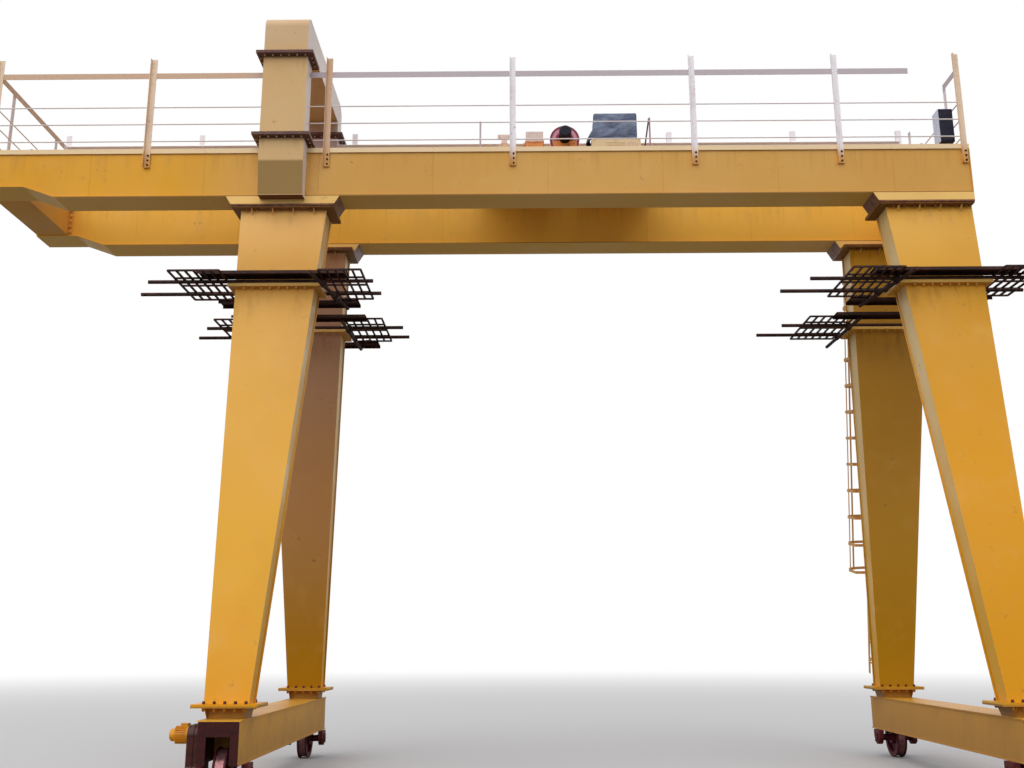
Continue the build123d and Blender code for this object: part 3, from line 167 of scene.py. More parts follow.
floor_material, place = new_material("floor")
away = place.node("ShaderNodeVectorMath", {"operation": "LENGTH"}, {0: place}, out="Value")
far = away.step(FADE_START, FADE_END)
seen = place.node("ShaderNodeLightPath", out="Is Camera Ray")
pale = rgb(FLOOR_COLOUR, FLOOR_COLOUR, FLOOR_COLOUR)
ground = place.node("ShaderNodeBsdfDiffuse", None, {"Color": seen.blend(rgb(120, 116, 110), pale)})
sky = place.node("ShaderNodeEmission", None, {"Color": (1, 1, 1, 1), "Strength": 1.0})
both = place.node("ShaderNodeMixShader", None, {0: far * seen, 1: ground, 2: sky})
place.node("ShaderNodeOutputMaterial", None, {"Surface": both})

mesh = bmesh.new()
bmesh.ops.create_grid(mesh, x_segments=1, y_segments=1, size=FLOOR_SIZE / 2)
floor_mesh = bpy.data.meshes.new("floor")
mesh.to_mesh(floor_mesh)
mesh.free()
floor_mesh.materials.append(floor_material)
floor = bpy.data.objects.new("floor", floor_mesh)
bpy.context.collection.objects.link(floor)

world = bpy.data.worlds.new("overcast")
world.use_nodes = True
world.node_tree.nodes.clear()
air = Shade(world.node_tree)
seen = air.node("ShaderNodeLightPath", out="Is Camera Ray")
glossy = air.node("ShaderNodeLightPath", out="Is Glossy Ray")
light = air.node("ShaderNodeBackground", None, {"Color": rgb(244, 244, 250), "Strength": SKY_STRENGTH})
white = air.node("ShaderNodeBackground", None, {"Color": (1, 1, 1, 1), "Strength": 1.0})
air.node("ShaderNodeOutputWorld", None,
         {"Surface": air.node("ShaderNodeMixShader", None, {0: seen | glossy, 1: light, 2: white})})
bpy.context.scene.world = world

lamp = bpy.data.objects.new("bright_sky", bpy.data.lights.new("bright_sky", "SUN"))
lamp.data.energy = LAMP_STRENGTH
lamp.data.angle = math.radians(LAMP_SPREAD)
lamp.data.color = (1.0, 0.985, 0.95)
lamp.rotation_euler = (math.radians(LAMP_TILT), 0, math.radians(LAMP_TURN))
bpy.context.collection.objects.link(lamp)


# Girders
# Two box girders welded from painted plate, with tie beams between their ends. Rain and
# dust run down the webs from the top flanges, and the plates are slightly wavy from
# welding. The paint is wet in places, and its joints with other parts show red primer.

GRIME = rgb(124, 84, 34)
RUST = rgb(92, 50, 32)
PRIMER = rgb(74, 34, 32)
GIRDER_TOP = 7.93
GIRDER_BOTTOM = 7.255
GIRDER_LEFT = -8.2
GIRDER_RIGHT = 4.76
GIRDER_BEND = -7.18
WEB_FACES = (0.66, 1.08)
EDGE_STRIP = GIRDER_TOP - 0.065
WELD_INSET = 0.016
SEAM_PITCH = 1.5
SEAT_PLATE_TOP = 7.15
BEAD = 0.005
SHEEN = 0.2


def surface(material, colour, roughness, bumps, metallic=0.0, coat=0.0):
    """Finishes a material: bumps are pairs of a height and the depth of its relief in metres."""
    normal = None
    for height, depth in bumps:
        inputs = {"Height": height, "Distance": depth, "Strength": 1.0}
        if normal:
            inputs["Normal"] = normal
        normal = height.node("ShaderNodeBump", None, inputs)
    start = Shade(material.node_tree)
    inputs = {"Base Color": colour, "Roughness": roughness, "Metallic": metallic, "Coat Weight": coat,
              "Coat Roughness": 0.12, "Specular IOR Level": SHEEN}
    if normal:
        inputs["Normal"] = normal
    skin = start.node("ShaderNodeBsdfPrincipled", None, inputs)
    start.node("ShaderNodeOutputMaterial", None, {"Surface": skin})
    return material


def run_off(z, streaks, level, reach):
    """Dirt that runs down a plate from a level, in streaks that fade out."""
    drop = level - z
    return drop.step(0.0, 0.02) * (1 - drop.step(0.1 * reach, reach)) * streaks


def facing(place):
    """Which way the surface looks, as shares of X, Y and Z."""
    return place.node("ShaderNodeNewGeometry", out="True Normal").axes()


def ramp(height, stops):
    """A colour that changes with the height: pairs of a level and the colour from there."""
    level, colour = stops[0]
    for upper, other in stops[1:]:
        colour = height.step(level, upper).blend(colour, other)
        level = upper
    return colour


def weathered(place, colour, dirt_levels, primer_levels=(), grime=0.4):
    """Old paint: faded clouds, dirt that runs down from levels, each with its reach, rust spots
    and bands of primer, each given as a level and half its height."""
    z = place.axes()[2]
    colour = (place.noise(0.55, 4, 0.6).step(0.42, 0.78) * 0.3).blend(colour, rgb(196, 132, 48))
    colour = (place.noise(2.6, 5, 0.65).step(0.5, 0.85) * 0.3).blend(colour, rgb(230, 180, 104))
    streaks = place.stretched(6, 6, 0.3).noise(1.6, 5, 0.7).step(0.46, 0.74)
    for level, reach in dirt_levels:
        colour = (run_off(z, streaks, level, reach) * grime).blend(colour, GRIME)
    specks = place.noise(14, 6, 0.75)
    spots = place.noise(5.2, 2, 0.5).step(0.62, 0.7) * specks.step(0.52, 0.7)
    colour = (spots * 0.5).blend(colour, RUST)
    for level, half in primer_levels:
        colour = (z.near(level, half) * 0.9).blend(colour, specks.step(0.4, 0.7).blend(PRIMER, GRIME))
    return colour


def paint_skin(material, place, colour, relief=()):
    """Finishes painted plate: slightly wavy, and glossier where it is wet."""
    wet = place.noise(1.3, 3, 0.5).step(0.4, 0.7)
    bumps = [(place.noise(1.1, 2, 0.4), 0.012), (place.noise(45, 2, 0.5), 0.0006), *relief]
    return surface(material, colour, 0.5 - wet * 0.16, bumps, coat=wet * 0.08)


def dress(nodes, material):
    """Gives CAD nodes their material."""
    for name in nodes:
        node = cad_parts[name]
        node.data.materials.clear()
        node.data.materials.append(material)


def finish_piece(name, mesh, material, body, smooth=False):
    """Turns a bmesh into a piece that rides on a body."""
    data = bpy.data.meshes.new(name)
    mesh.to_mesh(data)
    mesh.free()
    data.materials.append(material)
    if smooth:
        data.shade_smooth()
    piece = bpy.data.objects.new(name, data)
    bpy.context.collection.objects.link(piece)
    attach(piece, body)
    return piece


def aimed(spot, direction):
    """A place at a spot with its Z along a direction."""
    turn = Vector(direction).to_track_quat("Z", "Y").to_matrix().to_4x4()
    return Matrix.Translation(spot) @ turn


def add_rod(mesh, start, end, radius, segments=12, far_radius=None):
    """A round bar, or a cone, from one point to another."""
    start = Vector(start)
    reach = Vector(end) - start
    bmesh.ops.create_cone(mesh, cap_ends=True, segments=segments, radius1=radius,
                          radius2=radius if far_radius is None else far_radius, depth=reach.length,
                          matrix=aimed(start + reach / 2, reach))


def add_block(mesh, low, high, bevel=0.0):
    """A box between two corners, with its edges broken by a small bevel."""
    low = Vector(low)
    high = Vector(high)
    size = high - low
    made = bmesh.ops.create_cube(mesh, size=1, matrix=Matrix.Translation((low + high) / 2)
                                 @ Matrix.Diagonal((size.x, size.y, size.z, 1)))
    if bevel:
        edges = list(dict.fromkeys(edge for vertex in made["verts"] for edge in vertex.link_edges))
        bmesh.ops.bevel(mesh, geom=edges, offset=bevel, affect="EDGES", segments=2, profile=0.5, material=-1)


def add_bolt(mesh, spot, direction, width, turn=0.0):
    """A hexagon head with a chamfered top on a round washer."""
    place = aimed(spot, direction) @ Matrix.Rotation(turn, 4, "Z")
    radius = width / 2
    washer = 0.16 * width
    head = 0.62 * width
    bmesh.ops.create_cone(mesh, cap_ends=True, segments=16, radius1=1.18 * radius, radius2=1.18 * radius,
                          depth=washer, matrix=place @ Matrix.Translation((0, 0, washer / 2)))
    bmesh.ops.create_cone(mesh, cap_ends=True, segments=6, radius1=radius, radius2=radius, depth=head,
                          matrix=place @ Matrix.Translation((0, 0, washer + head / 2)))
    bmesh.ops.create_cone(mesh, cap_ends=True, segments=6, radius1=radius, radius2=0.78 * radius,
                          depth=0.14 * width, matrix=place @ Matrix.Translation((0, 0, washer + 1.07 * head)))


def add_weld_ring(mesh, x, y, half_x, half_y, z):
    """A weld bead round a box at a level."""
    for hand in (-1, 1):
        side = y + hand * half_y
        add_rod(mesh, (x - half_x, side, z), (x + half_x, side, z), BEAD, 6)
        side = x + hand * half_x
        add_rod(mesh, (side, y - half_y, z), (side, y + half_y, z), BEAD, 6)


def add_fins(mesh, centre, axis, count, circle, size):
    """Cooling fins round a motor whose axis is X or Y."""
    for fin in range(count):
        turn = Matrix.Rotation(2 * math.pi * fin / count, 4, axis)
        bmesh.ops.create_cube(mesh, size=1, matrix=Matrix.Translation(centre) @ turn
                              @ Matrix.Translation((0, 0, circle)) @ Matrix.Diagonal((*size, 1)))


def add_through_bolt(mesh, low, high, direction, width):
    """A bolt through a joint: its head on one side, a nut and the bolt's end on the other."""
    add_bolt(mesh, high, direction, width, turn=random.random())
    back = -Vector(direction)
    add_bolt(mesh, low, back, width, turn=random.random())
    add_rod(mesh, low, Vector(low) + back * 1.1 * width, 0.3 * width, 10)


random.seed(7)
material, place = new_material("girder_paint")
x, y, z = place.axes()
look_y, look_z = facing(place)[1:]
front = x.step(-6.0, -4.3).blend(rgb(232, 166, 28), rgb(217, 165, 82))
# The back girder is painted a brighter yellow than the front one: painted light that lifts the shade it lies
# in.
colour = y.step(0.2, 0.5).blend(front, rgb(253, 192, 72))
colour = weathered(place, colour, [(EDGE_STRIP, 0.45)], grime=0.2)
edge = abs(look_y).step(0.6, 0.8)
strip = z.step(EDGE_STRIP - 0.001, EDGE_STRIP + 0.001) * edge
colour = (strip * 0.85).blend(colour, rgb(246, 222, 182))
# Faces that look down are painted a brighter yellow: painted light on the girders' undersides.
colour = ((0 - look_z).step(0.6, 0.9) * 0.85).blend(colour, rgb(252, 208, 112))
# A dark line along the bottom of the webs: painted shadow under the bottom flange's edge, with some rust.
colour = (z.near(GIRDER_BOTTOM + 0.004, 0.012) * edge * 0.7).blend(colour, rgb(112, 70, 40))
plates = x * (1 / SEAM_PITCH)
along = plates.node("ShaderNodeMath", {"operation": "FRACT"}, {0: plates})
girder_paint = paint_skin(material, place, colour, [(along.near(0.5, 0.005), 0.003)])
dress(["front_girder", "back_girder"], material)

material, place = new_material("tie_paint")
tie_paint = paint_skin(material, place, weathered(place, rgb(240, 180, 84), [(GIRDER_TOP - 0.03, 0.3)]))
dress(["end_ties"], material)

material, place = new_material("seat_paint")
specks = place.noise(14, 6, 0.75)
maroon = specks.step(0.35, 0.65).blend(rgb(118, 66, 58), rgb(146, 104, 62))
colour = weathered(place, rgb(250, 206, 122), [])
plate = 1 - place.axes()[2].step(SEAT_PLATE_TOP - 0.002, SEAT_PLATE_TOP + 0.002)
under = (0 - facing(place)[2]).step(0.2, 0.4)
colour = (plate | under).blend(colour, maroon)
seat_paint = paint_skin(material, place, colour)
dress(["front_girder_seats", "back_girder_seats"], material)

mesh = bmesh.new()
for row in (-1, 1):
    for web, lip in zip(WEB_FACES, (-1, 1)):
        y = row * (web + lip * BEAD / 2)
        for z, start in ((GIRDER_BOTTOM + WELD_INSET, GIRDER_BEND), (GIRDER_TOP - WELD_INSET, GIRDER_LEFT)):
            add_rod(mesh, (start, y, z), (GIRDER_RIGHT, y, z), BEAD, 6)
finish_piece("girder_welds", mesh, girder_paint, "gantry", smooth=True)


def speckled(name, nodes, scale, plain, other, levels, roughness, relief, share=1.0, detail=5, metallic=0.0):
    """A material for some CAD nodes whose plain colour turns into another in fine specks, between
    two levels of their noise, with a relief in metres."""
    material, place = new_material(name)
    specks = place.noise(scale, detail, 0.7)
    dress(nodes, material)
    colour = (specks.step(*levels) * share).blend(plain, other)
    return surface(material, colour, roughness, [(specks, relief)], metallic=metallic)


steel = speckled("bolt_steel", [], 60, rgb(84, 52, 42), rgb(118, 72, 50), (0.35, 0.7), 0.7, 0.001,
                 detail=4, metallic=0.4)

TIE_BOLT = 0.036
TIE_BOLT_ROWS = 6
TIE_PLATE_FACE = 0.64
TIES = ((-7.709, 7.419), (4.269, 7.269))
TIE_TOP = 7.916
mesh = bmesh.new()
for x, low in TIES:
    for row in range(TIE_BOLT_ROWS):
        z = low + (TIE_TOP - low) * (row + 0.5) / TIE_BOLT_ROWS
        for hand in (-1, 1):
            add_bolt(mesh, (x, hand * TIE_PLATE_FACE, z), (0, -hand, 0), TIE_BOLT, turn=random.random())
finish_piece("tie_bolts", mesh, tie_paint, "gantry")


# Legs
# Each leg is two tapered boxes of welded plate, bolted to each other through plates near
# the top, to the ground beam and to the girder's seat. Dirt and rust gather at the joints.
# The sides that face each other under the girders are painted pale, a painted reflection of
# the sky, and the back legs' faces that look to the front carry painted shade.

FOOT_JOINT = 0.957
MID_JOINT = 5.98
HEAD_JOINT = 7.13
JOINT_PLATE = 0.02
FOOT_BOLT = 0.034
MID_BOLT = 0.027
HEAD_BOLT = 0.028
HEAD_BOLTS = 8
HEAD_BOLT_ROW = 0.055
LEG_FOOT = {"x": 4.25, "y": 2.09, "width": 0.48, "depth": 0.30}
LEG_HEAD = {"x": 4.2, "y": 0.785, "width": 1.12, "depth": 0.39}
LEG_LIP = 0.02
LEG_PLATE = 0.012

material, place = new_material("leg_paint")
x, y, z = place.axes()
look_x, look_y, look_z = facing(place)
right = x.step(-1.0, 1.0)
front_left = ramp(z, [(0.9, rgb(228, 156, 12)), (2.4, rgb(234, 173, 56)), (5.6, rgb(232, 176, 82)),
                      (6.1, rgb(212, 156, 68)), (7.1, rgb(245, 191, 112))])
front_right = ramp(z, [(0.9, rgb(216, 148, 8)), (3.4, rgb(226, 158, 34)), (5.4, rgb(216, 154, 40)),
                       (7.0, rgb(229, 173, 68))])
# The back legs' faces that look to the front get colours of their own: painted shade, for the shade these faces
# lie in under the girders.
back_left_painted_shade = ramp(z, [(1.2, rgb(183, 127, 6)), (4.0, rgb(200, 148, 97)), (6.4, rgb(209, 163, 134)),
                     (7.1, rgb(236, 190, 150))])
back_right_painted_shade = ramp(z, [(1.2, rgb(191, 138, 16)), (4.0, rgb(203, 149, 52)), (6.4, rgb(212, 157, 60)),
                      (7.1, rgb(246, 190, 60))])
painted_shade_faces = y.step(-0.2, 0.2) * (0 - look_y).step(0.3, 0.5)
colour = painted_shade_faces.blend(right.blend(front_left, front_right), right.blend(back_left_painted_shade, back_right_painted_shade))
# The sides that face the crane's middle are painted pale: a painted reflection of the sky.
sky_reflection_sides = (0 - look_x * x).step(1.5, 2.5)
colour = (sky_reflection_sides * 0.55).blend(colour, ramp(z, [(2.2, rgb(244, 196, 78)), (5.0, rgb(255, 240, 184))]))
colour = weathered(place, colour, [(HEAD_JOINT - JOINT_PLATE, 0.35), (MID_JOINT - JOINT_PLATE, 0.6)],
                   [(HEAD_JOINT, 0.045)])
edge = (1 - abs(look_z).step(0.3, 0.5)) * z.near(MID_JOINT, 0.03)
colour = (edge * 0.8).blend(colour, rgb(240, 196, 110))
leg_paint = paint_skin(material, place, colour)
LEGS = [(side, row) for side in ("left", "right") for row in ("front", "back")]
dress([f"{row}_{side}_{part}_leg" for side, row in LEGS for part in ("upper", "lower")], leg_paint)


def leg_at(side, row, height):
    """Centre and half sizes of a leg at a height."""
    share = (height - FOOT_JOINT) / (HEAD_JOINT - FOOT_JOINT)
    size = {name: LEG_FOOT[name] + share * (LEG_HEAD[name] - LEG_FOOT[name]) for name in LEG_FOOT}
    x = size["x"] * (1 if side == "right" else -1)
    y = size["y"] * (1 if row == "back" else -1)
    return x, y, size["width"] / 2, size["depth"] / 2


def bolt_rows(x, y, half_x, half_y, along, across, pitch):
    """Places in rows round a box, on its four sides: counts along X and across in Y."""
    spots = []
    for step in range(along):
        spot = x + (step - (along - 1) / 2) * pitch
        spots += [(spot, y - half_y), (spot, y + half_y)]
    for step in range(across):
        spot = y + (step - (across - 1) / 2) * pitch
        spots += [(x - half_x, spot), (x + half_x, spot)]
    return spots


material, place = new_material("foot_bolt_steel")
specks = place.noise(60, 4, 0.7)
above = place.axes()[2].step(FOOT_JOINT - 0.002, FOOT_JOINT + 0.002)
colour = above.blend(specks.step(0.4, 0.7).blend(rgb(216, 140, 30), rgb(150, 90, 36)),
                     specks.step(0.35, 0.7).blend(rgb(70, 40, 36), rgb(104, 58, 40)))
foot_steel = surface(material, colour, 0.6, [(specks, 0.001)])


def add_plate_bolts(mesh, spots, height, width):
    """Bolts through the two plates of a level joint, at places given by X and Y."""
    for x, y in spots:
        add_through_bolt(mesh, (x, y, height - JOINT_PLATE), (x, y, height + JOINT_PLATE), (0, 0, 1), width)


def add_leg_bolts(mesh, height, width, out, along, across, pitch):
    """Rows of bolts round each leg at one of its joints."""
    for side, row in LEGS:
        x, y, half_x, half_y = leg_at(side, row, height)
        add_plate_bolts(mesh, bolt_rows(x, y, half_x + out, half_y + out, along, across, pitch), height, width)


mesh = bmesh.new()
add_leg_bolts(mesh, FOOT_JOINT, FOOT_BOLT, out=0.06, along=5, across=0, pitch=0.112)
finish_piece("foot_bolts", mesh, foot_steel, "gantry")

mesh = bmesh.new()
for side, row in LEGS:
    x, y, half_x, half_y = leg_at(side, row, HEAD_JOINT)
    reach = half_x - LEG_LIP
    rows = [(x + reach * (2 * (step + 0.5) / HEAD_BOLTS - 1), y + hand * (half_y + HEAD_BOLT_ROW))
            for step in range(HEAD_BOLTS) for hand in (-1, 1)]
    add_plate_bolts(mesh, rows, HEAD_JOINT, HEAD_BOLT)
finish_piece("head_bolts", mesh, seat_paint, "gantry")

mesh = bmesh.new()
add_leg_bolts(mesh, MID_JOINT, MID_BOLT, out=0.042, along=8, across=3, pitch=0.11)
finish_piece("mid_joint_bolts", mesh, leg_paint, "gantry")

mesh = bmesh.new()
for side, row in LEGS:
    for low, high in ((FOOT_JOINT + JOINT_PLATE, MID_JOINT - JOINT_PLATE),
                      (MID_JOINT + JOINT_PLATE, HEAD_JOINT - JOINT_PLATE)):
        ends = [leg_at(side, row, height) for height in (low, high)]
        for hand in (-1, 1):
            for face in (-1, 1):
                start, end = [(x + hand * (half_x - LEG_LIP), y + face * (half_y - LEG_PLATE), height)
                              for (x, y, half_x, half_y), height in zip(ends, (low, high))]
                add_rod(mesh, start, end, BEAD, 6)
        for (x, y, half_x, half_y), height in zip(ends, (low, high)):
            for face in (-1, 1):
                spot = y + face * half_y
                add_rod(mesh, (x - half_x, spot, height), (x + half_x, spot, height), BEAD, 6)
finish_piece("leg_welds", mesh, leg_paint, "gantry", smooth=True)


# Ground beams, wheels and drives
# Box beams on two double-flanged wheels each. The open wheel bays and the ends show dark
# red primer. A dark gear case with a yellow, finned motor hangs outside the front wheel.

BEAM_PLACE = 4.25
BEAM_TOP = 0.825
TOP_PLATE_UNDER = 0.812
BEAM_END = 2.49
BAY_START = 1.85
BAY_HALF = 0.2052
AXLE_HEIGHT = 0.27
AXLE_PLACE = 2.16
HOUSING_FACES = (3.979, 4.521)
TREAD_HALF = 0.0445
TREAD_RADIUS = 0.248

material, place = new_material("beam_paint")
x, y, z = place.axes()
colour = z.step(0.3, 0.9).blend(rgb(206, 150, 60), rgb(236, 172, 54))
colour = (place.noise(1.7, 5, 0.65).step(0.45, 0.8) * 0.6).blend(colour, rgb(176, 130, 64))
streaks = place.stretched(7, 7, 0.5).noise(2.2, 5, 0.7)
colour = (streaks.step(0.45, 0.75) * (1 - z.step(0.4, 0.8)) * 0.25).blend(colour, rgb(96, 72, 44))
specks = place.noise(22, 5, 0.7)
colour = (specks.step(0.6, 0.72) * 0.6).blend(colour, RUST)
across = abs(abs(x) - BEAM_PLACE)
bay = (1 - across.step(BAY_HALF, BAY_HALF + 0.002)) * abs(y).step(BAY_START, BAY_START + 0.01)
bay = bay * (1 - z.step(TOP_PLATE_UNDER - 0.001, TOP_PLATE_UNDER + 0.0005))
face = abs(y).step(BEAM_END - 0.004, BEAM_END - 0.001) * (1 - z.step(TOP_PLATE_UNDER - 0.004, TOP_PLATE_UNDER))
maroon = specks.step(0.4, 0.7).blend(rgb(64, 16, 16), rgb(42, 14, 16))
colour = (bay | face).blend(colour, maroon)
# The right beam's inner side is painted darker: painted shade.
painted_shade_faces = (0 - facing(place)[0]).step(0.4, 0.6) * x.step(0.0, 1.0)
colour = (painted_shade_faces * 0.6).blend(colour, rgb(184, 134, 66))
colour = (z.step(BEAM_TOP - 0.002, BEAM_TOP + 0.002) * 0.5).blend(colour, rgb(104, 60, 22))
beam_paint = surface(material, colour, 0.42 + streaks * 0.15,
                     [(place.noise(1.4, 2, 0.4), 0.008), (specks, 0.0012)], coat=0.1)
dress(["left_ground_beam", "right_ground_beam"], material)

cast_steel = speckled("worn_cast_steel", ["rail_stops"], 30, rgb(58, 46, 42), rgb(88, 60, 46),
                      (0.35, 0.7), 0.6, 0.0015, metallic=0.55)


def from_axis(across, up):
    """Distance from an axis, from the distances across it and up from it."""
    square = across * across + up * up
    return square.node("ShaderNodeMath", {"operation": "SQRT"}, {0: square})


material, place = new_material("wheel_steel")
x, y, z = place.axes()
radius = from_axis(abs(y) - AXLE_PLACE, z - AXLE_HEIGHT)
specks = place.noise(24, 5, 0.7)
rim = abs(abs(x) - BEAM_PLACE)
tread = 1 - rim.step(TREAD_HALF - 0.0015, TREAD_HALF + 0.0015)
tread = tread * radius.step(TREAD_RADIUS - 0.001, TREAD_RADIUS + 0.001)
colour = specks.step(0.4, 0.75).blend(rgb(96, 32, 44), rgb(58, 28, 28))
# The treads are lighter: worn steel, with a painted pinkish highlight.
colour = tread.blend(colour, specks.step(0.3, 0.8).blend(rgb(176, 124, 128), rgb(112, 74, 72)))
surface(material, colour, 0.5 - tread * 0.2, [(specks, 0.0012)], metallic=tread * 0.6)
dress(["travel_wheels"], material)

speckled("primer_red", ["wheel_bearings"], 18, rgb(98, 34, 38), rgb(56, 26, 26), (0.4, 0.75), 0.55, 0.0015)

GEAR_MIDDLE = 4.581
GEAR_FACE = 0.012
GEAR_BOLT = 0.012
GEAR_BOLTS = 10
GEAR_HIGH = 0.101
GEAR_LOW = 0.126


def machine_yellow(place):
    """Yellow machine paint, dull in places and spotted with rust, and the noise of its specks."""
    specks = place.noise(16, 5, 0.7)
    colour = place.noise(3, 4, 0.6).step(0.4, 0.8).blend(rgb(222, 152, 34), rgb(160, 104, 40))
    return (specks.step(0.55, 0.72) * 0.7).blend(colour, RUST), specks


material, place = new_material("drive_paint")
colour, specks = machine_yellow(place)
gear_case = 1 - abs(place.axes()[0]).step(GEAR_MIDDLE + 0.054, GEAR_MIDDLE + 0.069)
colour = gear_case.blend(colour, specks.step(0.4, 0.7).blend(rgb(74, 32, 28), rgb(48, 24, 24)))
drive_paint = surface(material, colour, 0.45, [(specks, 0.0012)], coat=0.2)
dress(["travel_drives"], drive_paint)


def add_bolt_circle(mesh, centre, direction, radius, count, start, width):
    """Bolts in a circle round an axis along X or Y. The first is a share of their pitch round."""
    for step in range(count):
        angle = 2 * math.pi * (step + start) / count
        flat = radius * math.cos(angle)
        offset = (0 if direction[0] else flat, flat if direction[0] else 0, radius * math.sin(angle))
        add_bolt(mesh, Vector(centre) + Vector(offset), direction, width, turn=random.random())


BEARING_BOLT = 0.02
BEARING_CIRCLE = 0.072
mesh = bmesh.new()
for side in (-1, 1):
    for place_y in (-AXLE_PLACE, AXLE_PLACE):
        for face, hand in zip(HOUSING_FACES, (-1, 1)):
            if place_y > 0 or hand < 0:
                add_bolt_circle(mesh, (side * face, place_y, AXLE_HEIGHT), (side * hand, 0, 0),
                                radius=BEARING_CIRCLE, count=4, start=0.5, width=BEARING_BOLT)
finish_piece("bearing_bolts", mesh, steel, "gantry")

DRIVE_HEIGHT = 0.66
DRIVE_START = 4.662
DRIVE_END = 4.786
DRIVE_FINS = 26
DRIVE_FIN_CIRCLE = 0.084
DRIVE_FIN_SIZE = (DRIVE_END - DRIVE_START, 0.004, 0.016)
TERMINAL_BOX = ((4.65, 4.73), 0.045, (DRIVE_HEIGHT + 0.075, DRIVE_HEIGHT + 0.12))
FAN_COVER = 4.843
FAN_RADIUS = 0.05
FAN_SLOTS = 5
FAN_PITCH = 0.018
mesh = bmesh.new()
for side in (-1, 1):
    centre = Vector((side * (DRIVE_START + DRIVE_END) / 2, -AXLE_PLACE, DRIVE_HEIGHT))
    add_fins(mesh, centre, "X", DRIVE_FINS, DRIVE_FIN_CIRCLE, DRIVE_FIN_SIZE)
    for step in range(GEAR_BOLTS):
        angle = 2 * math.pi * (step + 0.5) / GEAR_BOLTS
        middle, reach = (DRIVE_HEIGHT, GEAR_HIGH) if math.sin(angle) > 0 else (AXLE_HEIGHT, GEAR_LOW)
        spot = (side * (GEAR_MIDDLE + GEAR_FACE), -AXLE_PLACE + reach * math.cos(angle),
                middle + reach * math.sin(angle))
        add_bolt(mesh, spot, (side, 0, 0), GEAR_BOLT, turn=random.random())
    ends, half_y, (low, high) = TERMINAL_BOX
    near, far = sorted(side * end for end in ends)
    add_block(mesh, (near, -AXLE_PLACE - half_y, low), (far, -AXLE_PLACE + half_y, high), 0.005)
    for step in range(FAN_SLOTS):
        drop = (step - (FAN_SLOTS - 1) / 2) * FAN_PITCH
        width = math.sqrt(FAN_RADIUS ** 2 - drop ** 2)
        add_block(mesh, (side * FAN_COVER - 0.003, -AXLE_PLACE - width, DRIVE_HEIGHT + drop - 0.004),
                  (side * FAN_COVER + 0.003, -AXLE_PLACE + width, DRIVE_HEIGHT + drop + 0.004))
finish_piece("drive_fittings", mesh, drive_paint, "gantry")

PEDESTAL_HALF = (0.205, 0.125)
mesh = bmesh.new()
for side, row in LEGS:
    x, y = leg_at(side, row, FOOT_JOINT)[:2]
    for z in (BEAM_TOP, FOOT_JOINT - JOINT_PLATE):
        add_weld_ring(mesh, x, y, *PEDESTAL_HALF, z)
finish_piece("pedestal_welds", mesh, beam_paint, "gantry", smooth=True)


# Saddle
# An arch over the girders at the left legs: a bracket on each girder's outer web, with a
# wedge-shaped foot below it, a column on each bracket and a bent box on top. All are boxes
# of welded plate, bolted through plates whose joints show plum primer.

SADDLE_X = -4.2
SADDLE_HALF = 0.29
SADDLE_FACE = 1.32
SADDLE_DEPTH = 0.29
SADDLE_RIM = 0.048
SADDLE_JOINTS = (8.0, 9.17)
SADDLE_BOLT = 0.024
SADDLE_BOLT_PITCH = 0.107
BRACKET_KNEE = 7.67
BRACKET_FOOT = 7.3
BRACKET_UNDER = 7.205
BRACKET_EDGE = 1.25
GIRDER_EDGE = 1.101

material, place = new_material("saddle_paint")
y, z = place.axes()[1:]
look_x, look_y, look_z = facing(place)
# The back column's faces that look to the front get a colour of their own: painted shade.
painted_shade_faces = y.step(-0.2, 0.2) * (0 - look_y).step(0.3, 0.5)
colour = painted_shade_faces.blend(rgb(217, 180, 126), rgb(188, 160, 156))
colour = z.step(9.1, 9.5).blend(colour, rgb(212, 182, 144))
colour = weathered(place, colour, [(SADDLE_JOINTS[1] - 0.04, 0.3), (SADDLE_JOINTS[0] - 0.04, 0.2)],
                   grime=0.3)
# Faces that look to the right are painted nearly white: a painted reflection of the sky.
colour = (look_x.step(0.5, 0.8) * 0.9).blend(colour, rgb(246, 236, 232))
plum = place.noise(14, 6, 0.75).step(0.35, 0.7).blend(rgb(92, 58, 62), rgb(112, 82, 66))
colour = (z.near(SADDLE_JOINTS[0], 0.055) | z.near(SADDLE_JOINTS[1], 0.055)).blend(colour, plum)
# The bracket's faces below its knee are painted a darker olive: painted shade.
sloping = (1 - z.step(BRACKET_KNEE - 0.03, BRACKET_KNEE)) * abs(look_y).step(0.3, 0.5)
colour = (sloping * 0.85).blend(colour, rgb(150, 118, 62))
under = (0 - look_z).step(0.8, 0.9) * (1 - z.step(BRACKET_FOOT - 0.05, BRACKET_FOOT))
colour = under.blend(colour, rgb(104, 62, 44))
colour = (z.near(BRACKET_UNDER, 0.014) * abs(look_y).step(0.3, 0.5)).blend(colour, rgb(226, 182, 132))
saddle_paint = paint_skin(material, place, colour)
dress(["saddle_brackets", "saddle_columns", "saddle_beam"], material)

mesh = bmesh.new()
for hand in (-1, 1):
    middle = hand * (SADDLE_FACE - SADDLE_DEPTH / 2)
    for height in SADDLE_JOINTS:
        spots = bolt_rows(SADDLE_X, middle, SADDLE_HALF + SADDLE_RIM, SADDLE_DEPTH / 2 + SADDLE_RIM,
                          along=6, across=3, pitch=SADDLE_BOLT_PITCH)
        add_plate_bolts(mesh, spots, height, SADDLE_BOLT)
finish_piece("saddle_bolts", mesh, saddle_paint, "gantry")

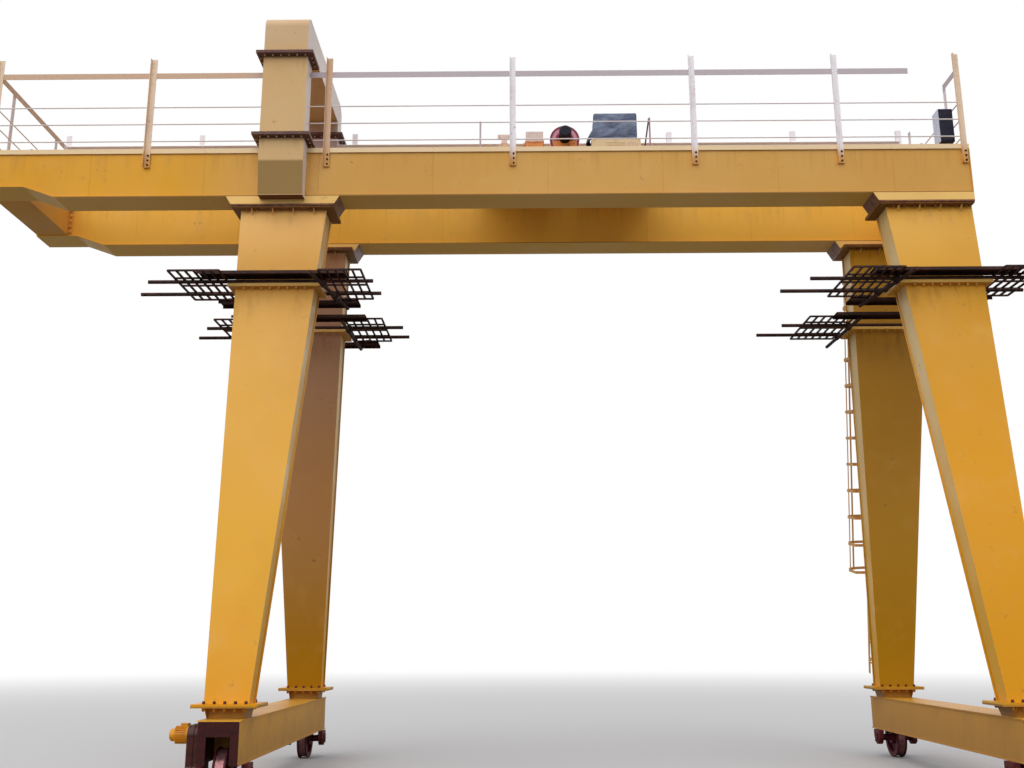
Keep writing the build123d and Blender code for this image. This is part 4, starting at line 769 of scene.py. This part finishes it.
mesh = bmesh.new()
for hand in (-1, 1):
    outline = [(SADDLE_FACE, BRACKET_KNEE), (BRACKET_EDGE, BRACKET_UNDER), (GIRDER_EDGE, BRACKET_UNDER),
               (GIRDER_EDGE, BRACKET_FOOT)]
    ends = [mesh.verts.new((SADDLE_X - SADDLE_HALF, hand * y, z)) for y, z in outline]
    side = mesh.faces.new(ends)
    grown = bmesh.ops.extrude_face_region(mesh, geom=[side])["geom"]
    moved = [item for item in grown if isinstance(item, bmesh.types.BMVert)]
    bmesh.ops.translate(mesh, verts=moved, vec=(2 * SADDLE_HALF, 0, 0))
bmesh.ops.recalc_face_normals(mesh, faces=mesh.faces[:])
bmesh.ops.bevel(mesh, geom=mesh.edges[:], offset=0.004, affect="EDGES", segments=2, profile=0.5, material=-1)
finish_piece("bracket_feet", mesh, saddle_paint, "gantry")

mesh = bmesh.new()
for hand in (-1, 1):
    middle = hand * (SADDLE_FACE - SADDLE_DEPTH / 2)
    for z in (SADDLE_JOINTS[0] + JOINT_PLATE, SADDLE_JOINTS[1] - JOINT_PLATE, SADDLE_JOINTS[1] + JOINT_PLATE):
        add_weld_ring(mesh, SADDLE_X, middle, SADDLE_HALF, SADDLE_DEPTH / 2, z)
    for edge in (-1, 1):
        x = SADDLE_X + edge * SADDLE_HALF
        web = hand * WEB_FACES[1]
        add_rod(mesh, (x, web, BRACKET_FOOT), (x, web, EDGE_STRIP - 0.001), BEAD, 6)
finish_piece("saddle_welds", mesh, saddle_paint, "gantry", smooth=True)


# Railings, ladder and cage
# Angle posts bolted to the girders' outer edges carry an angle top rail and three round
# rods, welded on. The caged ladder on the back leg is made of flat bar. The cream paint
# has faded, is bleached white from the saddle to the right end, and has rust at the welds.

POSTS = (-8.07, -6.01, -3.65, -1.205, 1.18, 3.08, 4.695)
POST_FACE = 1.106
POST_EDGES = (-0.04, 0.04)
POST_INNER = 1.104
POST_BOLT = 0.024
POST_BOLT_SHIFT = 0.012
POST_BOLT_HEIGHTS = (7.70, 7.765, 7.83)
TOP_RAIL_UNDER = 8.91
ROD_HEIGHTS = (8.04, 8.285, 8.53)
ROD_PLACE = 1.097
ROD_WELD = 0.009

material, place = new_material("railing_paint")
x, y, z = place.axes()
specks = place.noise(26, 5, 0.7)
high = z.step(7.7, 8.0)
bleached = high * x.step(-3.4, -1.6) * (1 - x.step(4.0, 4.6))
upper = x.near(POSTS[2], 1.5).blend(rgb(242, 216, 188), rgb(218, 182, 150))
colour = high.blend(rgb(226, 172, 96), upper)
colour = bleached.blend(colour, rgb(252, 248, 253))
colour = (place.noise(2.2, 4, 0.6).step(0.5, 0.8) * 0.4).blend(colour, rgb(196, 164, 146))
colour = (specks.step(0.56, 0.7) * 0.5).blend(colour, rgb(140, 96, 78))
behind = (1 - abs(y).step(POST_INNER - 0.0005, POST_INNER + 0.0005)) * z.step(7.95, 7.96)
rail = behind * z.step(TOP_RAIL_UNDER - 0.01, TOP_RAIL_UNDER + 0.01)
colour = (behind * 0.9).blend(colour, rgb(232, 226, 230))
colour = (rail * 0.9).blend(colour, x.step(-5.0, -4.0).blend(rgb(212, 174, 140), rgb(192, 180, 186)))
colour = (y.step(0.9, 1.0) * z.step(8.7, 8.8) * 0.95).blend(colour, rgb(250, 246, 250))
railing_paint = surface(material, colour, 0.55, [(specks, 0.0008)])
dress(["front_railing", "back_railing", "end_railings", "ladder", "ladder_cage"], material)

mesh = bmesh.new()
for x in POSTS:
    for hand in (-1, 1):
        for height in POST_BOLT_HEIGHTS:
            spot = (x + POST_BOLT_SHIFT, hand * POST_FACE, height)
            add_bolt(mesh, spot, (0, hand, 0), POST_BOLT, turn=random.random())
finish_piece("post_bolts", mesh, steel, "gantry")

mesh = bmesh.new()
for x in POSTS:
    for hand in (-1, 1):
        for height in ROD_HEIGHTS:
            for edge in POST_EDGES:
                spot = Matrix.Translation((x + edge, hand * ROD_PLACE, height))
                bmesh.ops.create_icosphere(mesh, subdivisions=1, radius=ROD_WELD,
                                           matrix=spot @ Matrix.Diagonal((1.2, 0.8, 1, 1)))
finish_piece("rod_welds", mesh, railing_paint, "gantry", smooth=True)


# Working platforms
# Scaffold pipes lie across the plates of each leg's middle joint, with welded gratings on
# them and folded planks beside the leg. Forged couplers with bolts hold the pipes that
# cross. All of it is bare steel, dark with rust and rain.

material, place = new_material("scaffold_steel")
specks = place.noise(24, 6, 0.75)
patches = place.noise(3.4, 4, 0.6)
colour = patches.step(0.4, 0.7).blend(rgb(46, 33, 33), rgb(74, 46, 40))
colour = (specks.step(0.5, 0.7) * 0.7).blend(colour, rgb(106, 62, 44))
scaffold_steel = surface(material, colour, 0.6, [(specks, 0.0015)], metallic=0.3)
dress([f"{row}_{side}_platform" for side, row in LEGS] + ["left_planks", "right_planks"], material)

PIPE_GAP = 0.06
PIPE = 0.048
PIPE_HEIGHT = 6.024
CROSS_TURNS = {"front": 9, "back": 2}
CROSS_REACH = 0.114
COUPLER_RADIUS = 0.031
COUPLER_LENGTH = 0.056
CLAMP_BOLT = 0.022
CLAMP_PLACE = (0.034, -0.02)
CLAMP_SEAT = -0.01
CLAMP_ROD = 0.006
CLAMP_ROD_ENDS = (-0.06, 0.03)
mesh = bmesh.new()
for side, row in LEGS:
    x, y, half_x, half_y = leg_at(side, row, MID_JOINT)
    hand = 1 if side == "right" else -1
    turn = math.radians(CROSS_TURNS[row])
    swing = (half_y + 0.08) * math.sin(turn)
    centre = Vector((x - hand * (half_x + CROSS_REACH + swing), y, 0))
    turned = Matrix.Rotation(hand * turn, 3, "Z")
    for face in (-1, 1):
        spot = centre + turned @ Vector((0, face * (half_y + PIPE_GAP), 0))
        for z in (PIPE_HEIGHT, PIPE_HEIGHT - PIPE):
            bmesh.ops.create_cone(mesh, cap_ends=True, segments=20, radius1=COUPLER_RADIUS,
                                  radius2=COUPLER_RADIUS, depth=COUPLER_LENGTH,
                                  matrix=Matrix.Translation((spot.x, spot.y, z))
                                  @ Matrix.Rotation(math.pi / 2, 4, "Y" if z == PIPE_HEIGHT else "X"))
        for step in (-1, 1):
            x, y = spot.x + step * CLAMP_PLACE[0], spot.y + CLAMP_PLACE[1]
            start, end = [(x, y, PIPE_HEIGHT + height) for height in CLAMP_ROD_ENDS]
            add_bolt(mesh, (x, y, PIPE_HEIGHT + CLAMP_SEAT), (0, 0, 1), CLAMP_BOLT)
            add_rod(mesh, start, end, CLAMP_ROD, 8)
finish_piece("pipe_couplers", mesh, scaffold_steel, "gantry")


# Trolley rails
# Square steel rails are held on the girders by pairs of clips with bolts.

RAIL_PLACE = 0.69
RAIL_TOP = 7.98
CLIP_PITCH = 0.6
CLIP_START = 0.2
CLIP_PLACE = 0.055
CLIP_HALF = (0.035, 0.0275)
CLIP_TOP = GIRDER_TOP + 0.022
CLIP_BOLT = 0.026

material, place = new_material("rail_steel")
y, z = place.axes()[1:]
specks = place.noise(30, 5, 0.7)
polished = z.step(RAIL_TOP - 0.005, RAIL_TOP - 0.001) * (1 - abs(abs(y) - RAIL_PLACE).step(0.015, 0.022))
colour = polished.blend(specks.step(0.35, 0.7).blend(rgb(70, 48, 40), rgb(96, 60, 44)), rgb(150, 148, 146))
surface(material, colour, 0.6 - polished * 0.3, [(specks, 0.001)], metallic=polished * 0.5 + 0.4)
dress(["trolley_rails"], material)

mesh = bmesh.new()
low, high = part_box("trolley_rails")
wide, deep = CLIP_HALF
for step in range(int((high.x - low.x) // CLIP_PITCH)):
    x = low.x + CLIP_START + step * CLIP_PITCH
    for row in (-1, 1):
        for hand in (-1, 1):
            y = row * RAIL_PLACE + hand * CLIP_PLACE
            add_block(mesh, (x - wide, y - deep, GIRDER_TOP), (x + wide, y + deep, CLIP_TOP), 0.004)
            add_bolt(mesh, (x, y + hand * 0.006, CLIP_TOP), (0, 0, 1), CLIP_BOLT, turn=random.random())
finish_piece("rail_clips", mesh, steel, "gantry")


# Trolley frame
# A welded deck on two side beams, with four flanged wheels outside them. Each wheel's
# axle ends in a cap with three screws, and welds run along the beams.

DECK = 8.1603
DECK_EDGE = 0.63
TROLLEY = (-1.74, 0.8)
TROLLEY_AXLES = (-1.32, 0.4)
TROLLEY_AXIS = 8.0703
AXLE_CAP = RAIL_PLACE + 0.054
CAP_CIRCLE = 0.015
CAP_SCREW = 0.01

material, place = new_material("deck_paint")
colour, specks = machine_yellow(place)
dress(["trolley_frame"], surface(material, colour, 0.45, [(specks, 0.0012)], coat=0.2))

material, place = new_material("trolley_wheel_paint")
specks = place.noise(26, 5, 0.7)
side = abs(facing(place)[1]).step(0.5, 0.8)
worn = specks.step(0.35, 0.7).blend(rgb(70, 56, 50), rgb(104, 80, 66))
faded = specks.step(0.45, 0.75).blend(rgb(226, 196, 168), rgb(182, 140, 112))
surface(material, side.blend(worn, faded), 0.55, [(specks, 0.001)])
dress(["trolley_wheels"], material)

mesh = bmesh.new()
for hand in (-1, 1):
    for x in TROLLEY_AXLES:
        add_bolt_circle(mesh, (x, hand * AXLE_CAP, TROLLEY_AXIS), (0, hand, 0),
                        radius=CAP_CIRCLE, count=3, start=0.25, width=CAP_SCREW)
    start, end = [(x, hand * DECK_EDGE, DECK - 0.01) for x in TROLLEY]
    add_rod(mesh, start, end, 0.8 * BEAD, 6)
finish_piece("trolley_fittings", mesh, cast_steel, "trolley")


# Hoist drum and its motor
# A grooved steel drum with flanges turns between two bearing pedestals. The flanges are
# primed dark red outside. The finned motor is bolted to the front pedestal, and its fan
# cover is nearly black.

DRUM_X = -0.49
DRUM_AXIS = 8.3853
FLANGE_FACE = 0.354
PEDESTAL_FACE = 0.436
PEDESTAL_MIDDLE = 0.411
PEDESTAL_FOOT = DECK + 0.178
HOIST_FINS = 28
HOIST_FIN_CIRCLE = 0.078
HOIST_FIN_SIZE = (0.003, 0.118, 0.012)
HOIST_MOTOR = -PEDESTAL_FACE - 0.078
HOIST_FLANGE = -PEDESTAL_FACE - 0.016
HOIST_FAN = -PEDESTAL_FACE - 0.21
FAN_RINGS = (0.02, 0.036, 0.052, 0.068)

material, place = new_material("drum_steel")
x, y, z = place.axes()
specks = place.noise(26, 5, 0.7)
radius = from_axis(x - DRUM_X, z - DRUM_AXIS)
outside = abs(y).step(FLANGE_FACE - 0.002, FLANGE_FACE + 0.002)
worn = specks.step(0.35, 0.7).blend(rgb(62, 56, 54), rgb(92, 72, 58))
flange = specks.step(0.35, 0.8).blend(rgb(140, 40, 74), rgb(84, 30, 44))
# A pale pinkish ring on the outer flange faces: a painted highlight.
ring = radius.near(0.15, 0.035)
flange = (ring * 0.75).blend(flange, rgb(196, 158, 168))
surface(material, outside.blend(worn, flange), 0.5, [(specks, 0.001)], metallic=0.3)
dress(["hoist_drum"], material)

speckled("pedestal_paint", ["drum_pedestals"], 20, rgb(222, 142, 74), rgb(120, 66, 46), (0.5, 0.72),
         0.5, 0.001, share=0.7)
motor_paint = speckled("motor_paint", ["hoist_motor"], 28, rgb(24, 22, 42), rgb(52, 40, 52), (0.45, 0.75),
                       0.45, 0.0008)

mesh = bmesh.new()
add_fins(mesh, (DRUM_X, HOIST_MOTOR, DRUM_AXIS), "Y", HOIST_FINS, HOIST_FIN_CIRCLE, HOIST_FIN_SIZE)
fan = Vector((DRUM_X, HOIST_FAN, DRUM_AXIS))
for ring in FAN_RINGS:
    wire = bmesh.ops.create_circle(mesh, segments=8, radius=BEAD / 2, cap_ends=False,
                                   matrix=Matrix.Translation(fan) @ Matrix.Rotation(math.pi / 2, 4, "X")
                                   @ Matrix.Translation((ring, 0, 0)) @ Matrix.Rotation(math.pi / 2, 4, "X"))
    edges = list(dict.fromkeys(edge for vertex in wire["verts"] for edge in vertex.link_edges))
    bmesh.ops.spin(mesh, geom=edges, cent=fan, axis=(0, 1, 0), angle=2 * math.pi, steps=32, use_merge=True)
bmesh.ops.recalc_face_normals(mesh, faces=mesh.faces[:])
finish_piece("hoist_motor_fins", mesh, motor_paint, "trolley")

PEDESTAL_BOLT = 0.024
PEDESTAL_BOLTS = (0.105, 0.145)
mesh = bmesh.new()
for hand in (-1, 1):
    for step in (-1, 1):
        for end in PEDESTAL_BOLTS:
            spot = (DRUM_X + step * end, hand * PEDESTAL_MIDDLE, PEDESTAL_FOOT)
            add_bolt(mesh, spot, (0, 0, 1), PEDESTAL_BOLT, turn=random.random())
add_bolt_circle(mesh, (DRUM_X, PEDESTAL_FACE, DRUM_AXIS), (0, 1, 0),
                radius=0.06, count=6, start=0, width=0.014)
add_bolt_circle(mesh, (DRUM_X, HOIST_FLANGE, DRUM_AXIS), (0, -1, 0),
                radius=0.079, count=4, start=0.5, width=0.008)
finish_piece("pedestal_bolts", mesh, steel, "trolley")


# Hoist gear case and limit posts
# The cast gear case is peach above its joint rim and orange below, with screws round the
# rim. A thin rod, a T-shaped post and a small bent frame stand beside it on the deck.

CASE = (-0.91, -0.39)
CASE_HALF = (0.12, 0.11)
CASE_TOP = DECK + 0.285
RIM_HEIGHT = DECK + 0.1425
RIM_TOP = RIM_HEIGHT + 0.012
RIM_OUT = 0.004
RIM_SCREW = 0.014
RIM_PITCH = 0.09
CASE_LID = ((-0.08, -0.01), (-0.07, 0.07), 0.008)

material, place = new_material("peach_paint")
x, _, z = place.axes()
specks = place.noise(20, 5, 0.7)
lower = (1 - z.step(RIM_HEIGHT - 0.03, RIM_HEIGHT + 0.02)) * x.near(CASE[0], 0.25)
colour = lower.blend(rgb(230, 214, 208), rgb(226, 150, 84))
colour = (specks.step(0.5, 0.72) * 0.5).blend(colour, rgb(150, 98, 70))
peach_paint = surface(material, colour, 0.5, [(specks, 0.001)])
dress(["hoist_gear_case"], material)

mesh = bmesh.new()
for step_x in (-1, 0, 1):
    for hand in (-1, 1):
        spot = (CASE[0] + step_x * RIM_PITCH, CASE[1] + hand * (CASE_HALF[1] + RIM_OUT), RIM_TOP)
        add_bolt(mesh, spot, (0, 0, 1), RIM_SCREW, turn=random.random())
for hand in (-1, 1):
    add_bolt(mesh, (CASE[0] + hand * (CASE_HALF[0] + RIM_OUT), CASE[1], RIM_TOP), (0, 0, 1), RIM_SCREW)
add_block(mesh, (CASE[0] + CASE_LID[0][0], CASE[1] + CASE_LID[1][0], CASE_TOP),
          (CASE[0] + CASE_LID[0][1], CASE[1] + CASE_LID[1][1], CASE_TOP + CASE_LID[2]), 0.003)
finish_piece("gear_case_screws", mesh, peach_paint, "trolley")

THIN_ROD = -1.655
BENT_FRAME = 0.525
BENT_FRAME_END = 0.688
material, place = new_material("post_steel")
x = place.axes()[0]
specks = place.noise(24, 5, 0.7)
colour = x.near(THIN_ROD, 0.1).blend(rgb(240, 218, 210), rgb(196, 190, 200))
bar = x.step(BENT_FRAME - 0.025, BENT_FRAME + 0.025)
bar_end = x.step(BENT_FRAME_END - 0.002, BENT_FRAME_END + 0.002)
colour = bar.blend(colour, bar_end.blend(rgb(74, 34, 54), rgb(176, 132, 150)))
colour = (specks.step(0.52, 0.72) * 0.5).blend(colour, rgb(120, 80, 66))
surface(material, colour, 0.5, [(specks, 0.0008)])
dress(["limit_posts"], material)


# Cabinet
# The electric cabinet is a box of cream sheet steel on a wider plinth that is screwed to it
# and has louvres in its front. Dirt from the wet deck has splashed up the plinth.

material, place = new_material("cabinet_paint")
specks = place.noise(20, 5, 0.7)
low_dirt = (1 - place.axes()[2].step(DECK, DECK + 0.12)) * place.noise(7, 4, 0.7).step(0.35, 0.6)
colour = (specks.step(0.5, 0.75) * 0.4).blend(rgb(226, 206, 168), rgb(150, 126, 100))
colour = (low_dirt * 0.6).blend(colour, rgb(168, 118, 74))
cabinet_paint = surface(material, colour, 0.5, [(specks, 0.0008)])
dress(["electric_cabinet"], material)

PLINTH = ((-0.115, 0.565), (-0.365, 0.105), (DECK, DECK + 0.25))
LOUVRES = 6
LOUVRE_ENDS = (0.10, 0.35)
LOUVRE_LOW = DECK + 0.07
LOUVRE_PITCH = 0.022
LOUVRE_HEIGHT = 0.008
LOUVRE_PROUD = 0.004
PLINTH_SCREW = 0.012
SCREW_INSET = 0.03
mesh = bmesh.new()
front = PLINTH[1][0]
for step in range(LOUVRES):
    z = LOUVRE_LOW + step * LOUVRE_PITCH
    add_block(mesh, (LOUVRE_ENDS[0], front - LOUVRE_PROUD, z),
              (LOUVRE_ENDS[1], front + 0.001, z + LOUVRE_HEIGHT), 0.0015)
for x in (PLINTH[0][0] + SCREW_INSET, PLINTH[0][1] - SCREW_INSET):
    for z in (PLINTH[2][1] - SCREW_INSET, PLINTH[2][0] + SCREW_INSET):
        add_bolt(mesh, (x, front, z), (0, -1, 0), PLINTH_SCREW, turn=random.random())
finish_piece("plinth_louvres", mesh, cabinet_paint, "trolley")


# Cabinet cover
# A sheet of wet blue-grey tarpaulin is folded over the cabinet like wrapping paper: its sides
# hang straight and each corner's spare cloth lies back on a side, so a crease runs slanting
# from the corner. The left front corner bulges.

SHEET_SIZE = (1.39, 1.18)
SHEET_DROP = 0.4
SHEET_CELL = 0.02
SHEET_FRAMES = 30
SHEET_THICKNESS = 0.0015
CABINET = ((-0.068, 0.518), (-0.318, 0.058), 8.807)
CLEAR = 0.004
LAYER = 0.004
RIPPLE = 0.0015
BULGE = 0.1
TIED_FROM = 0.26
PAINTED_SHADE_BAND = (8.44, 8.56)

holder_mesh = bmesh.new()
add_block(holder_mesh, (CABINET[0][0], CABINET[1][0], DECK), (CABINET[0][1], CABINET[1][1], CABINET[2]), 0.012)
add_block(holder_mesh, (PLINTH[0][0], PLINTH[1][0], DECK), (PLINTH[0][1], PLINTH[1][1], PLINTH[2][1]), 0.004)
holder_data = bpy.data.meshes.new("cover_former")
holder_mesh.to_mesh(holder_data)
holder_mesh.free()
former = bpy.data.objects.new("cover_former", holder_data)
bpy.context.collection.objects.link(former)
former.modifiers.new("collision", "COLLISION")
former.collision.thickness_outer = 0.003
former.collision.cloth_friction = 20

middle = ((CABINET[0][0] + CABINET[0][1]) / 2, (CABINET[1][0] + CABINET[1][1]) / 2)
half = ((CABINET[0][1] - CABINET[0][0]) / 2, (CABINET[1][1] - CABINET[1][0]) / 2)


def folded(u, v):
    """Where a point of the flat sheet lies on the cabinet, and how far into a corner's fold."""
    over = (max(abs(u) - half[0], 0), max(abs(v) - half[1], 0))
    hand = (math.copysign(1, u), math.copysign(1, v))
    near = min(over)
    fall = max(over)
    if fall == 0:
        return (u, v, CLEAR), 0
    out = CLEAR + RIPPLE * (1 + math.sin(23 * u + 11 * v) * math.sin(17 * v - 7 * u))
    if near == 0:
        if over[0]:
            return (hand[0] * (half[0] + out), v, -fall), 0
        return (u, hand[1] * (half[1] + out), -fall), 0
    on_left = hand[0] < 0 and hand[1] < 0
    ear_side = 0 if on_left else 1
    layers = 1 if over[ear_side] > over[1 - ear_side] else 2
    if hand[0] < 0 and hand[1] > 0:
        layers += 2
    out += layers * LAYER
    if on_left:
        low = max(min(fall / SHEET_DROP, 1) - 0.5, 0) / 0.5
        out += BULGE * math.sin(math.pi / 2 * low) * math.sin(math.pi * min(near / SHEET_DROP + 0.15, 1)) ** 0.8
        return (-half[0] - out, hand[1] * (half[1] - near), -fall), near
    return (hand[0] * (half[0] - near), hand[1] * (half[1] + out), -fall), near


mesh = bmesh.new()
cells = [round(side / SHEET_CELL) for side in SHEET_SIZE]
bmesh.ops.create_grid(mesh, x_segments=cells[0], y_segments=cells[1], size=0.5,
                      matrix=Matrix.Diagonal((*SHEET_SIZE, 1, 1)))
tied = []
for number, vertex in enumerate(mesh.verts):
    spot, near = folded(vertex.co.x, vertex.co.y)
    vertex.co = Vector(spot) + Vector((middle[0], middle[1], CABINET[2]))
    if near > TIED_FROM or (near > 0.04 and vertex.co.x < middle[0] and vertex.co.y < middle[1]):
        tied.append(number)

material, place = new_material("cover_cloth")
folds = place.stretched(2, 2, 5).noise(2.2, 4, 0.6)
weave = place.noise(240, 2, 0.5)
# The cloth is painted darker towards its lower edge: painted shade.
low = 1 - place.axes()[2].step(*PAINTED_SHADE_BAND)
colour = folds.step(0.3, 0.75).blend(rgb(72, 82, 112), rgb(132, 148, 176))
colour = (low * 0.5).blend(colour, rgb(38, 42, 66))
cloth_material = surface(material, colour, 0.42 + folds * 0.2, [(folds, 0.012), (weave, 0.0004)], coat=0.2)
cover = finish_piece("tarpaulin_cover", mesh, cloth_material, "trolley", smooth=True)
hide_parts("cabinet_cover")
cover.vertex_groups.new(name="tied").add(tied, 1.0, "REPLACE")
cloth = cover.modifiers.new("cloth", "CLOTH")
cloth.settings.quality = 8
cloth.settings.mass = 0.4
cloth.settings.tension_stiffness = 60
cloth.settings.compression_stiffness = 60
cloth.settings.shear_stiffness = 20
cloth.settings.bending_stiffness = 1.5
cloth.settings.air_damping = 4
cloth.settings.vertex_group_mass = "tied"
cloth.collision_settings.distance_min = 0.003
cloth.collision_settings.use_self_collision = True
cloth.collision_settings.self_distance_min = 0.002
for step in range(1, SHEET_FRAMES + 1):
    bpy.context.scene.frame_set(step)
draped = bpy.data.meshes.new_from_object(cover.evaluated_get(bpy.context.evaluated_depsgraph_get()))
cover.modifiers.remove(cloth)
cover.data = draped
bpy.context.scene.frame_set(1)
bpy.data.objects.remove(former)
thickness = cover.modifiers.new("thickness", "SOLIDIFY")
thickness.thickness = SHEET_THICKNESS
thickness.offset = 0
rounding = cover.modifiers.new("rounding", "SUBSURF")
rounding.levels = 1
rounding.render_levels = 1


# Junction box
# A painted steel box with a screwed lid hangs on the right end railing. Its front is
# nearly black, and the side that faces the crane's middle is painted a pale grey blue: a
# painted reflection of the sky.

BOX_SIDE = 4.5
LID_INSET = 0.008
LID_PROUD = 0.006
LID_SCREW = 0.012
SCREW_PLACE = 0.025
GLANDS = 3
GLAND_START = 0.05
GLAND_PITCH = 0.045
GLAND_NUT = (0.014, 0.012)
GLAND_TAIL = (0.011, 0.008, 0.02)

material, place = new_material("box_paint")
specks = place.noise(20, 5, 0.7)
# The side that faces the crane's middle is painted pale grey blue: a painted reflection of the sky.
side = 1 - place.axes()[0].step(BOX_SIDE - 0.002, BOX_SIDE + 0.002)
colour = side.blend(rgb(30, 30, 50), rgb(210, 222, 244))
colour = (specks.step(0.5, 0.75) * 0.4).blend(colour, rgb(72, 64, 68))
box_paint = surface(material, colour, 0.5, [(specks, 0.001)])
dress(["junction_box"], material)

low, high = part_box("junction_box")
mesh = bmesh.new()
face = low.y - LID_PROUD
add_block(mesh, (low.x + LID_INSET, face, low.z + LID_INSET),
          (high.x - LID_INSET, low.y + 0.001, high.z - LID_INSET), 0.003)
for x in (low.x + SCREW_PLACE, high.x - SCREW_PLACE):
    for z in (low.z + SCREW_PLACE, high.z - SCREW_PLACE):
        add_bolt(mesh, (x, face, z), (0, -1, 0), LID_SCREW, turn=random.random())
for step in range(GLANDS):
    x = low.x + GLAND_START + step * GLAND_PITCH
    y = (low.y + high.y) / 2
    nut = low.z - GLAND_NUT[1]
    add_rod(mesh, (x, y, low.z), (x, y, nut), GLAND_NUT[0], 6)
    add_rod(mesh, (x, y, nut), (x, y, nut - GLAND_TAIL[2]), GLAND_TAIL[0], 12, GLAND_TAIL[1])
finish_piece("junction_box_lid", mesh, box_paint, "gantry")
